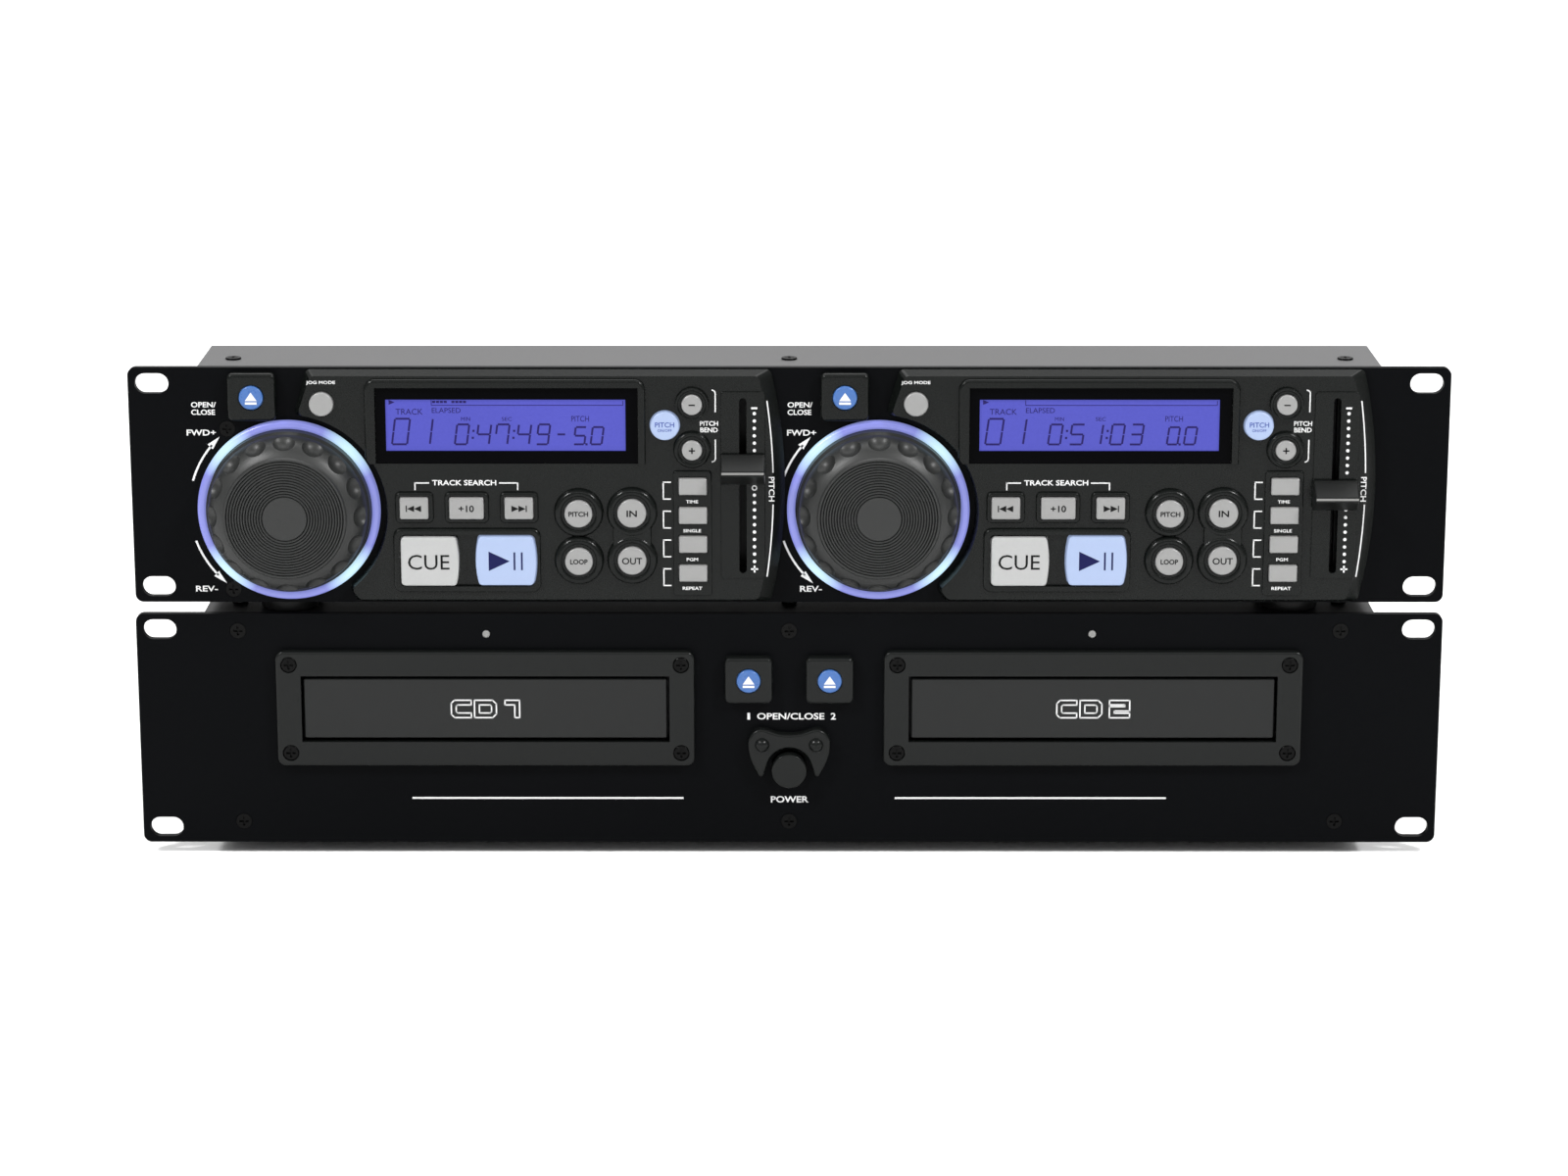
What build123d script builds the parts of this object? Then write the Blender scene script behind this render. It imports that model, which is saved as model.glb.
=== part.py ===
from build123d import *
from collections import namedtuple
from math import atan2, cos, degrees, radians, sin
import os

os.makedirs("parts", exist_ok=True)

# A double disc player for a disc jockey: a drive unit with two disc trays, and on it
# a control unit with two decks. Millimetres, +X right, +Y back, +Z up, z = 0 on the table.

# ---- rack panels, the same on both units ----
rack_width = 482.6
rack_unit = 44.45
panel_rack_units = 2
panel_play = 0.8
panel_height = panel_rack_units * rack_unit - panel_play
panel_thickness = 3.0
panel_corner = 3.0
slot_margin = 8.75           # from a slot's centre to the panel's end
slot_spacing_x = rack_width - 2 * slot_margin
slot_spacing_z = 76.2
slot_length = 12.3
slot_width = 7.5

# ---- sheet-metal cases ----
sheet = 1.2
case_inset = 0.6            # case and cover stay this far inside the panel's edges
drive_depth = 255.0         # front of the panel to the rear wall
control_depth = 46.0
cover_gap = 0.3
skirt_height = 14.0
front_flange = 26.0
rear_flange = 9.0
seat_gap = 0.3              # running clearance between neighbours
panel_screw_margin = 11.3   # in from the case's side
panel_screw_top = 37.5
panel_screw_bottom = -36.0

# ---- feet and screws ----
foot_height = 5.2
foot_radius = 10.5
foot_margin = 29.0          # in from the case's side
drive_foot_margin_front = 32.0
drive_foot_margin_rear = 30.0
control_foot_front = 13.5
control_foot_rear = 35.2
head_radius = 2.9
head_height = 1.8
low_head_height = 0.7       # of the screws in the covers and the floor
shank_radius = 1.5
shank_length = 6.0
hole_clearance = 0.2
cross_length = 3.4
cross_width = 0.8
cross_depth = 1.0

# ---- decks of the control unit, measured from each jog wheel's centre ----
deck_gap = 0.7              # from one fascia to the next light ring
decks_shift = -1.15         # the pair of decks stands this far off the middle
decks_over_case = 1.7       # the pair of decks is this much wider than the case
control_setback = 2.0
wheel_z = -8.9
wheel_radius = 30.1
wheel_top = 16.5            # in front of the panel
wheel_rim_top = 4.8
wheel_sink = 1.0            # the rim starts this far behind the panel's face
wheel_disc_radius = 22.2
wheel_hub_radius = 7.6
groove_count = 14
groove_depth = 0.5
groove_width = 0.6
dimple_count = 16
dimple_ball = 5.5
shaft_radius = 3.0
shaft_clearance = 0.05
encoder_radius = 8.0
encoder_height = 4.3
ring_radius = 33.5
ring_bore = 30.5
ring_height = 2.8
ring_collar = 1.0

# ---- fascias ----
fascia_base = 1.5           # straight part of the edge
fascia_height = 6.0
fascia_wall = 2.4
fascia_left = 7.5
fascia_bulge = 5.3
fascia_top = 43.6
fascia_bottom = -43.2
fascia_foot_x = 24.5
fascia_cutout = 35.7
edge_slope = 1.6
right_slope = 4.4
window_left = 31.0
window_height = 77.0
window_margin = 3.0

# ---- displays ----
lens_left = 33.0
lens_z = 23.7
lens_width = 95.3
lens_height = 28.0
lens_thickness = 1.5
lens_rim = 2.0
frame_border = 3.45
frame_top_border = 3.3
frame_corner = 4.0
frame_rise = 1.6
module_margin = 2.65        # the display module is narrower than its lens
module_height = 24.0
module_z = 24.6

# ---- keys and buttons ----
key_gap = 0.35
key_travel = 0.8
flange_grow = 0.9
flange_thickness = 1.0
stem_radius = 1.5
board_depth = 9.0           # board's front behind the panel's face
board_thickness = 1.6
switch_size = 6.0
switch_height = 3.5
spacer_radius = 2.6
round_edge = 0.6
open_key_x = -12.4
open_key_z = 33.6
open_key_size = 8.8
open_key_top = 4.9
square_bezel_size = 17.7
square_bezel_corner = 2.0
square_bezel_height = 4.0
pocket_radius = 6.2         # the room round a single button's flange
track_key_pitch = 19.15
function_key_pitch = 10.85

# ---- columns of a deck to the right of its display ----
column_pitch = 9.9
function_shift = 0.25
fader_column = 18.5
fader_to_edge = 10.1
fader_to_window = 6.0
fader_to_board_edge = 10.9
board_left = -27.5
lens_x = lens_left + lens_width / 2
pitch_on_x = lens_left + lens_width + column_pitch
bend_x = pitch_on_x + column_pitch
function_x = bend_x + function_shift
fader_x = bend_x + fader_column
fascia_right = fader_x + fader_to_edge
window_right = fader_x + fader_to_window
frame_width = lens_width + 2 * frame_border
module_width = lens_width - 2 * module_margin

# ---- pitch faders ----
fader_plate_width = 16.2
fader_plate_height = 70.0
fader_plate_z = 1.4
fader_plate_rise = 0.6
fader_slot_width = 2.7
fader_slot_length = 65.5
fader_slot_z = 1.25
fader_cap_width = 16.4
fader_cap_height = 11.0
fader_cap_top = 15.5
fader_cap_ridge = 2.0
fader_stem_width = 2.0
fader_stem_height = 5.0
fader_body_width = 6.6
fader_body_length = 70.0
fader_body_height = 6.0
fader_rest = (7.8, -1.8)    # where the two caps stand in the photograph

# ---- disc trays and their loaders ----
disc_radius = 60.0          # a compact disc
disc_play = 0.8
tray_rim = 4.2              # beside the disc's recess
tray_tail = 20.0            # the tray is this much longer than wide
tray_front_lip = 2.3        # the tray's front reaches this far past its sides
tray_front_height = 22.9
tray_side_gap = 0.9
tray_top_gap = 1.2
bezel_border_x = 9.3
bezel_border_z = 9.35
bezel_screw_margin_x = 5.0
bezel_screw_margin_z = 5.1
bezel_from_middle = 35.0
tray_z = 8.35
bezel_corner = 3.0
bezel_thickness = 3.2
tray_front_thickness = 2.6
tray_front_face = 2.2
tray_front_corner = 0.8
tray_front_chamfer = 0.4
tray_thickness = 6.0
tray_drop = 3.0             # tray's underside below the opening's middle
disc_recess_depth = 1.8
small_disc_radius = 40.6
small_disc_depth = 0.9
disc_setback = 4.0          # the disc's centre behind the tray's middle
tray_slot_width = 36.0
tray_slot_shift = 8.0
disc_recess_radius = disc_radius + disc_play
tray_width = 2 * (disc_recess_radius + tray_rim)
tray_depth = tray_width + tray_tail
tray_front_width = tray_width + 2 * tray_front_lip
opening_width = tray_front_width + 2 * tray_side_gap
opening_height = tray_front_height + 2 * tray_top_gap
bezel_width = opening_width + 2 * bezel_border_x
bezel_height = opening_height + 2 * bezel_border_z
bezel_screw_x = bezel_width / 2 - bezel_screw_margin_x
bezel_screw_z = bezel_height / 2 - bezel_screw_margin_z
tray_x = bezel_from_middle + bezel_width / 2
loader_wall = 2.4
loader_height = 42.0
loader_tail = 26.0          # the loader is this much longer than the tray
loader_depth = tray_depth + loader_tail
loader_front = 8.0
loader_floor_gap = 1.0      # puck and spindle stop this far from the tray
motor_back = 34.0           # the motor behind the disc's centre
motor_size = (24.0, 18.0)
loader_post_margin = (7.0, 10.0)
rail_width = 7.0
rail_thickness = 2.0
puck_radius = 14.0
bridge_width = 44.0
loader_post_radius = 4.0

# ---- eject and power buttons of the drive unit ----
eject_x = 15.0
eject_z = 19.4
power_z = -14.9
power_radius = 6.5
power_gap = 1.0
power_top = 6.0
surround_height = 4.0
surround_bore = 8.3
surround_edge = 0.9
led_x = 112.0
led_z = 36.3
led_radius = 1.4
front_board_width = 68.0
front_board_height = 76.0

# ---- sockets on the rear walls ----
jack_radius = 4.15
jack_length = 8.5           # from the wall to the barrel's end
jack_neck = 3.8
jack_relief = 0.4           # the thin neck's length outside the wall
jack_bore = 1.75
jack_depth = 7.0
jack_pitch = 18.0
jack_margin = 39.0          # first jack in from the case's side
jack_z = -14.0
jack_plate = 1.5
din_radius = 4.85
din_depth = 7.0
din_shell = 7.2
din_plate = 1.5
din_x = 16.0
din_z = -14.0
control_din_x = 120.0
control_din_z = -12.0
inlet_margin = 47.0         # in from the case's side
inlet_z = -10.0
inlet_width = 48.0
inlet_height = 28.0
inlet_mouth_width = 28.0
inlet_mouth_height = 20.0
inlet_mouth_depth = 16.0
inlet_plate = 2.0
blade_width = 4.0
blade_height = 2.0
blade_spacing = 14.0
vent_count = 9
vent_pitch = 9.0
vent_width = 3.0
vent_length = 42.0

# ---- where the units stand ----
Unit = namedtuple("Unit", "y z depth")
front_reach = max(wheel_top, fader_cap_top) - control_setback
drive_y = (front_reach - drive_depth - jack_length) / 2
drive_z = foot_height - case_inset + panel_height / 2
drive = Unit(drive_y, drive_z, drive_depth)
unit_rise = panel_height + foot_height - 2 * case_inset
control = Unit(drive_y + control_setback, drive_z + unit_rise, control_depth)
deck_reach = fascia_right + fascia_bulge
deck_pitch = deck_reach + deck_gap + ring_radius
first_deck_x = decks_shift - (deck_pitch + deck_reach - ring_radius) / 2
deck_x = [first_deck_x, first_deck_x + deck_pitch]
deck_names = ["left", "right"]

case_width = ring_radius + deck_pitch + deck_reach - decks_over_case
panel_screw_x = case_width / 2 - panel_screw_margin
foot_x = case_width / 2 - foot_margin
jack_first_x = -case_width / 2 + jack_margin
inlet_x = case_width / 2 - inlet_margin
case_floor = -panel_height / 2 + case_inset
case_top = panel_height / 2 - case_inset - sheet
wall_back = panel_thickness + sheet
switch_top = board_depth - switch_height
stem_end = switch_top - key_travel - seat_gap
flange_face = fascia_height - fascia_wall - seat_gap
panel_flange_face = -wall_back - seat_gap
ring_collar_radius = ring_bore + ring_collar
cutout_over_window = fascia_cutout + window_margin
slot_column = [-slot_spacing_x / 2, slot_spacing_x / 2]
slot_row = [-slot_spacing_z / 2, slot_spacing_z / 2]


def front_plane(unit, out, x=0.0, z=0.0):
    """plane facing the user, out mm in front of the unit's panel; sketch x, y are x, z"""
    return Plane(origin=(x, unit.y - out, unit.z + z), x_dir=(1, 0, 0), z_dir=(0, -1, 0))


def save(piece, name):
    piece.part.label = name
    export_step(piece.part, f"parts/{name}.step")


# ---- keys: each is a cap, a flange behind the fascia and a stem to its switch ----
Key = namedtuple("Key", "name x z width height corner bulge rise")
no_bulge = (0.0, 0.0)


def round_key(name, x, z, size, rise):
    return Key(name, x, z, size, size, size / 2, no_bulge, rise)


track_names = ["back", "skip_ten", "forward"]
track_widths = [10.5, 12.6, 10.5]
function_names = ["time", "single", "program", "repeat"]
track_keys = [
    Key(name, 46.45 + i * track_key_pitch, -6.75, width, 8.1, 0.7, no_bulge, 2.8)
    for i, (name, width) in enumerate(zip(track_names, track_widths))
]
function_keys = [
    Key(name, function_x, 1.35 - i * function_key_pitch, 10.3, 6.2, 0.5, no_bulge, 2.6)
    for i, name in enumerate(function_names)
]
cue_key = Key("cue", 51.9, -26.6, 21.2, 18.3, 1.6, (0.0, 1.0), 3.0)
play_key = Key("play", 79.8, -26.4, 22.2, 18.3, 1.6, (1.2, 1.2), 3.0)
pitch_key = round_key("pitch", 106.5, -8.7, 10.2, 3.2)
loop_key = round_key("loop", 106.5, -26.6, 10.2, 3.2)
in_key = round_key("in", 126.0, -8.5, 10.6, 3.2)
out_key = round_key("out", 126.0, -26.3, 10.5, 3.2)
pitch_on_key = round_key("pitch_on", pitch_on_x, 23.9, 10.5, 2.2)
bend_down_key = round_key("bend_down", bend_x, 31.8, 7.5, 2.8)
bend_up_key = round_key("bend_up", bend_x, 14.9, 7.4, 2.8)
jog_mode_key = round_key("jog_mode", 13.4, 31.8, 8.8, 2.0)
deck_keys = track_keys + [cue_key, play_key, pitch_key, loop_key, in_key, out_key]
deck_keys += [pitch_on_key, bend_down_key, bend_up_key] + function_keys + [jog_mode_key]


def key_outline(key, grow=0.0):
    """one key's outline round the origin, grown by a gap or a flange"""
    width = key.width + 2 * grow
    height = key.height + 2 * grow
    left, right = key.bulge
    with BuildSketch(mode=Mode.PRIVATE) as outline:
        if key.width == 2 * key.corner:
            Circle(width / 2)
        elif key.bulge == no_bulge:
            RectangleRounded(width, height, key.corner + grow)
        else:
            edge = [-width / 2 + left, width / 2 - right]
            with BuildLine():
                Line((edge[0], height / 2), (edge[1], height / 2))
                ThreePointArc((edge[1], height / 2), (width / 2, 0), (edge[1], -height / 2))
                Line((edge[1], -height / 2), (edge[0], -height / 2))
                if left > 0:
                    ThreePointArc((edge[0], -height / 2), (-width / 2, 0), (edge[0], height / 2))
                else:
                    Line((edge[0], -height / 2), (edge[0], height / 2))
            make_face()
            fillet(outline.vertices(), key.corner + grow)
    return outline.sketch


def make_button(name, unit, x, key, top, flange):
    """a push button whose cap ends top mm, and its flange flange mm, in front of the panel"""
    cap_outline = key_outline(key)
    flange_outline = key_outline(key, flange_grow)
    with BuildPart() as button:
        with BuildSketch(front_plane(unit, flange, x, key.z)):
            add(cap_outline)
        extrude(amount=top - flange)
        fillet(button.faces().sort_by(Axis.Y)[0].edges(), round_edge)
        with BuildSketch(front_plane(unit, flange, x, key.z)):
            add(flange_outline)
        extrude(amount=-flange_thickness)
        with BuildSketch(front_plane(unit, flange - flange_thickness, x, key.z)):
            Circle(stem_radius)
        extrude(amount=-(flange - flange_thickness + stem_end))
    save(button, name)


# ---- a rack panel: plate, four slots and screw holes ----
def rack_panel(unit):
    with BuildPart() as plate:
        with BuildSketch(front_plane(unit, 0)):
            RectangleRounded(rack_width, panel_height, panel_corner)
            with GridLocations(slot_spacing_x, slot_spacing_z, 2, 2):
                SlotOverall(slot_length, slot_width, mode=Mode.SUBTRACT)
        extrude(amount=-panel_thickness)
    return plate.part


# ---- an open-topped sheet-metal case with return flanges front and rear ----
def open_case(unit):
    length = unit.depth - panel_thickness
    middle_y = unit.y + panel_thickness + length / 2
    height = case_top - case_floor
    with BuildPart() as case:
        with BuildSketch(Plane.XY.offset(unit.z + case_floor)):
            with Locations((0, middle_y)):
                Rectangle(case_width, length)
        extrude(amount=height)
        with BuildSketch(Plane.XY.offset(unit.z + case_floor + sheet)):
            with Locations((0, middle_y)):
                Rectangle(case_width - 2 * sheet, length - 2 * sheet)
        extrude(amount=height, mode=Mode.SUBTRACT)
        with BuildSketch(Plane.XY.offset(unit.z + case_top - sheet)):
            with Locations((0, middle_y - (length - front_flange) / 2)):
                Rectangle(case_width - sheet, front_flange)
            with Locations((0, middle_y + (length - rear_flange) / 2)):
                Rectangle(case_width - sheet, rear_flange)
        extrude(amount=sheet)
    return case.part


# ---- a flat cover whose two side skirts hang outside the case ----
def top_cover(unit):
    width = case_width + 2 * (sheet + cover_gap)
    length = unit.depth - panel_thickness - cover_gap
    middle_y = unit.y + unit.depth - length / 2
    with BuildPart() as cover:
        with BuildSketch(Plane.XY.offset(unit.z + case_top)):
            with Locations((0, middle_y)):
                Rectangle(width, length)
        extrude(amount=sheet)
        with BuildSketch(Plane.XY.offset(unit.z + case_top)):
            with Locations((0, middle_y)):
                with GridLocations(width - sheet, 0, 2, 1):
                    Rectangle(sheet, length)
        extrude(amount=-skirt_height)
    return cover.part


# ---- screws and feet, made once on the origin with the head's seat at z = 0 ----
def make_screw(countersunk, length=shank_length, head=head_height, cross=cross_depth):
    with BuildPart() as screw:
        with BuildSketch():
            Circle(shank_radius)
        extrude(amount=-length)
        if countersunk:
            with Locations((0, 0, -head / 2)):
                Cone(shank_radius, head_radius, head)
        else:
            with Locations((0, 0, head / 2)):
                Cylinder(head_radius, head)
            fillet(screw.faces().sort_by(Axis.Z)[-1].edges(), head / 3)
        with BuildSketch(Plane.XY.offset(0 if countersunk else head)):
            Rectangle(cross_length, cross_width)
            Rectangle(cross_width, cross_length)
        extrude(amount=-cross, mode=Mode.SUBTRACT)
    return screw.part


flush_screw = make_screw(True)
raised_screw = make_screw(False)
cover_screw = make_screw(False, 4.0, low_head_height, low_head_height / 2)

with BuildPart() as foot:
    Cylinder(foot_radius, foot_height, align=(Align.CENTER, Align.CENTER, Align.MIN))
    fillet(foot.edges().group_by(Axis.Z)[0], 0.8)


def facing_user(unit, out, x, z):
    """a place for a screw whose head looks at the user"""
    return front_plane(unit, out, x, z).location


# ---- screw places shared by the panels, cases, covers and screws ----
drive_panel_screws = [
    (x, z) for x in (-panel_screw_x, 0, panel_screw_x) for z in (panel_screw_bottom, panel_screw_top)
]
deck_screws = [(-22.0, 21.2), (-21.5, -39.2)]       # from the first wheel's centre line
control_panel_screws = [(first_deck_x + x, z) for x, z in deck_screws]
cover_screw_x = case_width / 2 - 10.0
floor_screw_x = case_width / 2 - 57.0
screw_row = 19.5            # behind the panel's face
rear_screw_margin = 5.0
cover_screws = [(x, screw_row) for x in (-cover_screw_x, 0, cover_screw_x)]
floor_screws = [(x, screw_row) for x in (-floor_screw_x, 0, floor_screw_x)]


def cover_screw_places(unit):
    """one row behind the panel, and on the deep unit a second one at the rear"""
    rear = [(x, unit.depth - rear_screw_margin) for x, _ in cover_screws]
    rows = cover_screws + rear if unit is drive else cover_screws
    return [(x, unit.y + y) for x, y in rows]


# ---- drive unit: front panel ----
bezel_corners = [(x, z) for x in (-bezel_screw_x, bezel_screw_x) for z in (-bezel_screw_z, bezel_screw_z)]
tray_places = [(-tray_x, tray_z), (tray_x, tray_z)]
eject_places = [(-eject_x, eject_z), (eject_x, eject_z)]
led_places = [(-led_x, led_z), (led_x, led_z)]
bezel_screw_places = [(tx + x, tz + z) for tx, tz in tray_places for x, z in bezel_corners]

with BuildPart() as drive_front_panel:
    add(rack_panel(drive))
    with BuildSketch(front_plane(drive, 0)):
        with Locations(*tray_places):
            Rectangle(opening_width, opening_height)
        with Locations(*eject_places):
            Circle(pocket_radius)
        with Locations((0, power_z)):
            Circle(power_radius + seat_gap)
        with Locations(*led_places):
            Circle(led_radius + hole_clearance)
        with Locations(*bezel_screw_places):
            Circle(shank_radius + hole_clearance)
    extrude(amount=-panel_thickness, mode=Mode.SUBTRACT)
    with Locations(*[facing_user(drive, 0, x, z) for x, z in drive_panel_screws]):
        CounterSinkHole(shank_radius + hole_clearance, head_radius + hole_clearance,
                        panel_thickness, 75)
save(drive_front_panel, "drive_front_panel")

# ---- drive unit: case with front cut-outs, socket holes and side vents ----
jack_places = [(jack_first_x + i * jack_pitch, jack_z) for i in range(6)]
din_places = [(-din_x, din_z), (din_x, din_z)]
rear_y = drive.y + drive.depth


def rear_plane(unit, out, x=0.0, z=0.0):
    """plane on the outside of a unit's rear wall, facing back; its sketch x runs to -X"""
    return Plane(origin=(x, unit.y + unit.depth + out, unit.z + z), x_dir=(-1, 0, 0), z_dir=(0, 1, 0))


with BuildPart() as drive_chassis:
    add(open_case(drive))
    with BuildSketch(front_plane(drive, -panel_thickness)):
        with Locations(*tray_places):
            Rectangle(opening_width + 2, loader_height)
        with Locations(*eject_places):
            Circle(pocket_radius)
        with Locations((0, power_z)):
            Circle(power_radius + flange_grow + seat_gap)
        with Locations(*led_places):
            Circle(led_radius + hole_clearance)
        with Locations(*drive_panel_screws, *bezel_screw_places):
            Circle(shank_radius + hole_clearance)
    extrude(amount=-sheet, mode=Mode.SUBTRACT)
    with BuildSketch(Plane.XY.offset(drive.z + case_top)):
        with Locations(*cover_screw_places(drive)):
            Circle(shank_radius + hole_clearance)
    extrude(amount=-sheet, mode=Mode.SUBTRACT)
    with BuildSketch(front_plane(drive, -drive.depth)):
        with Locations(*jack_places):
            Circle(jack_radius + seat_gap)
        with Locations(*din_places):
            Circle(din_shell + seat_gap)
        with Locations((inlet_x, inlet_z)):
            Rectangle(inlet_mouth_width + 4, inlet_mouth_height + 4)
    extrude(amount=sheet, mode=Mode.SUBTRACT)
    vent_y = drive.y + drive.depth * 0.55
    with BuildSketch(Plane.YZ.offset(-case_width / 2 - 1)):
        with Locations((vent_y, drive.z - skirt_height / 2)):
            with GridLocations(vent_pitch, 0, vent_count, 1):
                SlotOverall(vent_length, vent_width, rotation=90)
    extrude(amount=case_width + 2, mode=Mode.SUBTRACT)
save(drive_chassis, "drive_chassis")

with BuildPart() as drive_top_cover:
    add(top_cover(drive))
    with BuildSketch(Plane.XY.offset(drive.z + case_top)):
        with Locations(*cover_screw_places(drive)):
            Circle(shank_radius + hole_clearance)
    extrude(amount=sheet, mode=Mode.SUBTRACT)
save(drive_top_cover, "drive_top_cover")


# ---- drive unit: bezels round the trays, eject buttons and power button ----
def square_bezel(unit, x, z):
    with BuildPart() as bezel:
        with BuildSketch(front_plane(unit, 0, x, z)):
            RectangleRounded(square_bezel_size, square_bezel_size, square_bezel_corner)
        extrude(amount=square_bezel_height)
        fillet(bezel.faces().sort_by(Axis.Y)[0].edges(), 1.4)
        with BuildSketch(front_plane(unit, 0, x, z)):
            Circle(open_key_size / 2 + key_gap)
        extrude(amount=square_bezel_height, mode=Mode.SUBTRACT)
        with BuildSketch(front_plane(unit, 0, x, z)):
            Circle(pocket_radius)
        extrude(amount=square_bezel_height - fascia_wall, mode=Mode.SUBTRACT)
    return bezel.part


def tray_bezel(x, z):
    with BuildPart() as bezel:
        with BuildSketch(front_plane(drive, 0, x, z)):
            RectangleRounded(bezel_width, bezel_height, bezel_corner)
        extrude(amount=bezel_thickness)
        fillet(bezel.faces().sort_by(Axis.Y)[0].edges(), 1.0)
        with BuildSketch(front_plane(drive, 0, x, z)):
            Rectangle(opening_width, opening_height)
        extrude(amount=bezel_thickness, mode=Mode.SUBTRACT)
        with BuildSketch(front_plane(drive, 0, x, z)):
            with Locations(*bezel_corners):
                Circle(shank_radius + hole_clearance)
        extrude(amount=bezel_thickness, mode=Mode.SUBTRACT)
        with BuildSketch(front_plane(drive, bezel_thickness, x, z)):
            with Locations(*bezel_corners):
                Circle(head_radius + hole_clearance)
        extrude(amount=-head_height, mode=Mode.SUBTRACT)
    return bezel.part


def surround_outline():
    """the horned plate over the power button, round the button's centre line"""
    with BuildSketch(mode=Mode.PRIVATE) as outline:
        with BuildLine() as half:
            outer = Spline((0, -1.4), (6, -0.5), (11, 0.7), (14.4, -1.8), (15.2, -6.5),
                           (13.7, -12.5), (11.4, -17.0), tangents=((1, 0), (-0.5, -1)))
            tip = RadiusArc(outer @ 1, (9.5, -17.0), 1.1)
            rise = Line(tip @ 1, (7.7, power_z + 3.1))
            over = ThreePointArc(rise @ 1, (surround_bore * 0.6, power_z + surround_bore * 0.8),
                                 (0, power_z + surround_bore))
            Line(over @ 1, outer @ 0)
        make_face()
        mirror(about=Plane.YZ)
    return outline.sketch


with BuildPart() as power_surround:
    with BuildSketch(front_plane(drive, 0)):
        add(surround_outline())
    extrude(amount=surround_height)
    fillet(power_surround.faces().sort_by(Axis.Y)[0].edges(), surround_edge)
    with Locations(*[front_plane(drive, surround_height - 1.0, x, -5.2).location for x in (-10, 10)]):
        Sphere(2.9)

square_bezels = [square_bezel(drive, x, z) for x, z in eject_places]
tray_bezels = [tray_bezel(x, z) for x, z in tray_places]
with BuildPart() as drive_bezels:
    add(square_bezels)
    add(tray_bezels)
    add(power_surround.part)
save(drive_bezels, "drive_bezels")

# ---- drive unit: buttons ----
eject_key = round_key("eject", 0.0, eject_z, open_key_size, 0)
power_key = round_key("power", 0.0, power_z, 2 * power_radius, 0)
eject_flange = square_bezel_height - fascia_wall - seat_gap
for i, (x, z) in enumerate(eject_places):
    make_button(f"drive_open_button_{i + 1}", drive, x, eject_key, open_key_top, eject_flange)
make_button("power_button", drive, 0, power_key, power_top, -panel_thickness - seat_gap)


# ---- drive unit: disc trays and loaders ----
def disc_tray(x):
    top = tray_z - tray_drop + tray_thickness
    middle = drive.y - tray_front_face + tray_front_thickness + tray_depth / 2
    centre = (x, middle + disc_setback)
    with BuildPart() as tray:
        with BuildSketch(front_plane(drive, tray_front_face, x, tray_z)):
            RectangleRounded(tray_front_width, tray_front_height, tray_front_corner)
        extrude(amount=-tray_front_thickness)
        chamfer(tray.faces().sort_by(Axis.Y)[0].edges(), tray_front_chamfer)
        with BuildSketch(Plane.XY.offset(drive.z + top)):
            with Locations((x, middle)):
                Rectangle(tray_width, tray_depth)
        extrude(amount=-tray_thickness)
        with BuildSketch(Plane.XY.offset(drive.z + top)):
            with Locations(centre):
                Circle(disc_recess_radius)
        extrude(amount=-disc_recess_depth, mode=Mode.SUBTRACT)
        with BuildSketch(Plane.XY.offset(drive.z + top - disc_recess_depth)):
            with Locations(centre):
                Circle(small_disc_radius)
        extrude(amount=-small_disc_depth, mode=Mode.SUBTRACT)
        with BuildSketch(Plane.XY.offset(drive.z + top)):
            with Locations((x, centre[1] + disc_recess_radius / 2 - tray_slot_shift)):
                SlotOverall(disc_recess_radius + tray_slot_width, tray_slot_width, rotation=90)
        extrude(amount=-tray_thickness, mode=Mode.SUBTRACT)
    return tray


disc_trays = [disc_tray(x) for x in (-tray_x, tray_x)]
for i, tray in enumerate(disc_trays):
    save(tray, f"disc_tray_{i + 1}")


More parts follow.
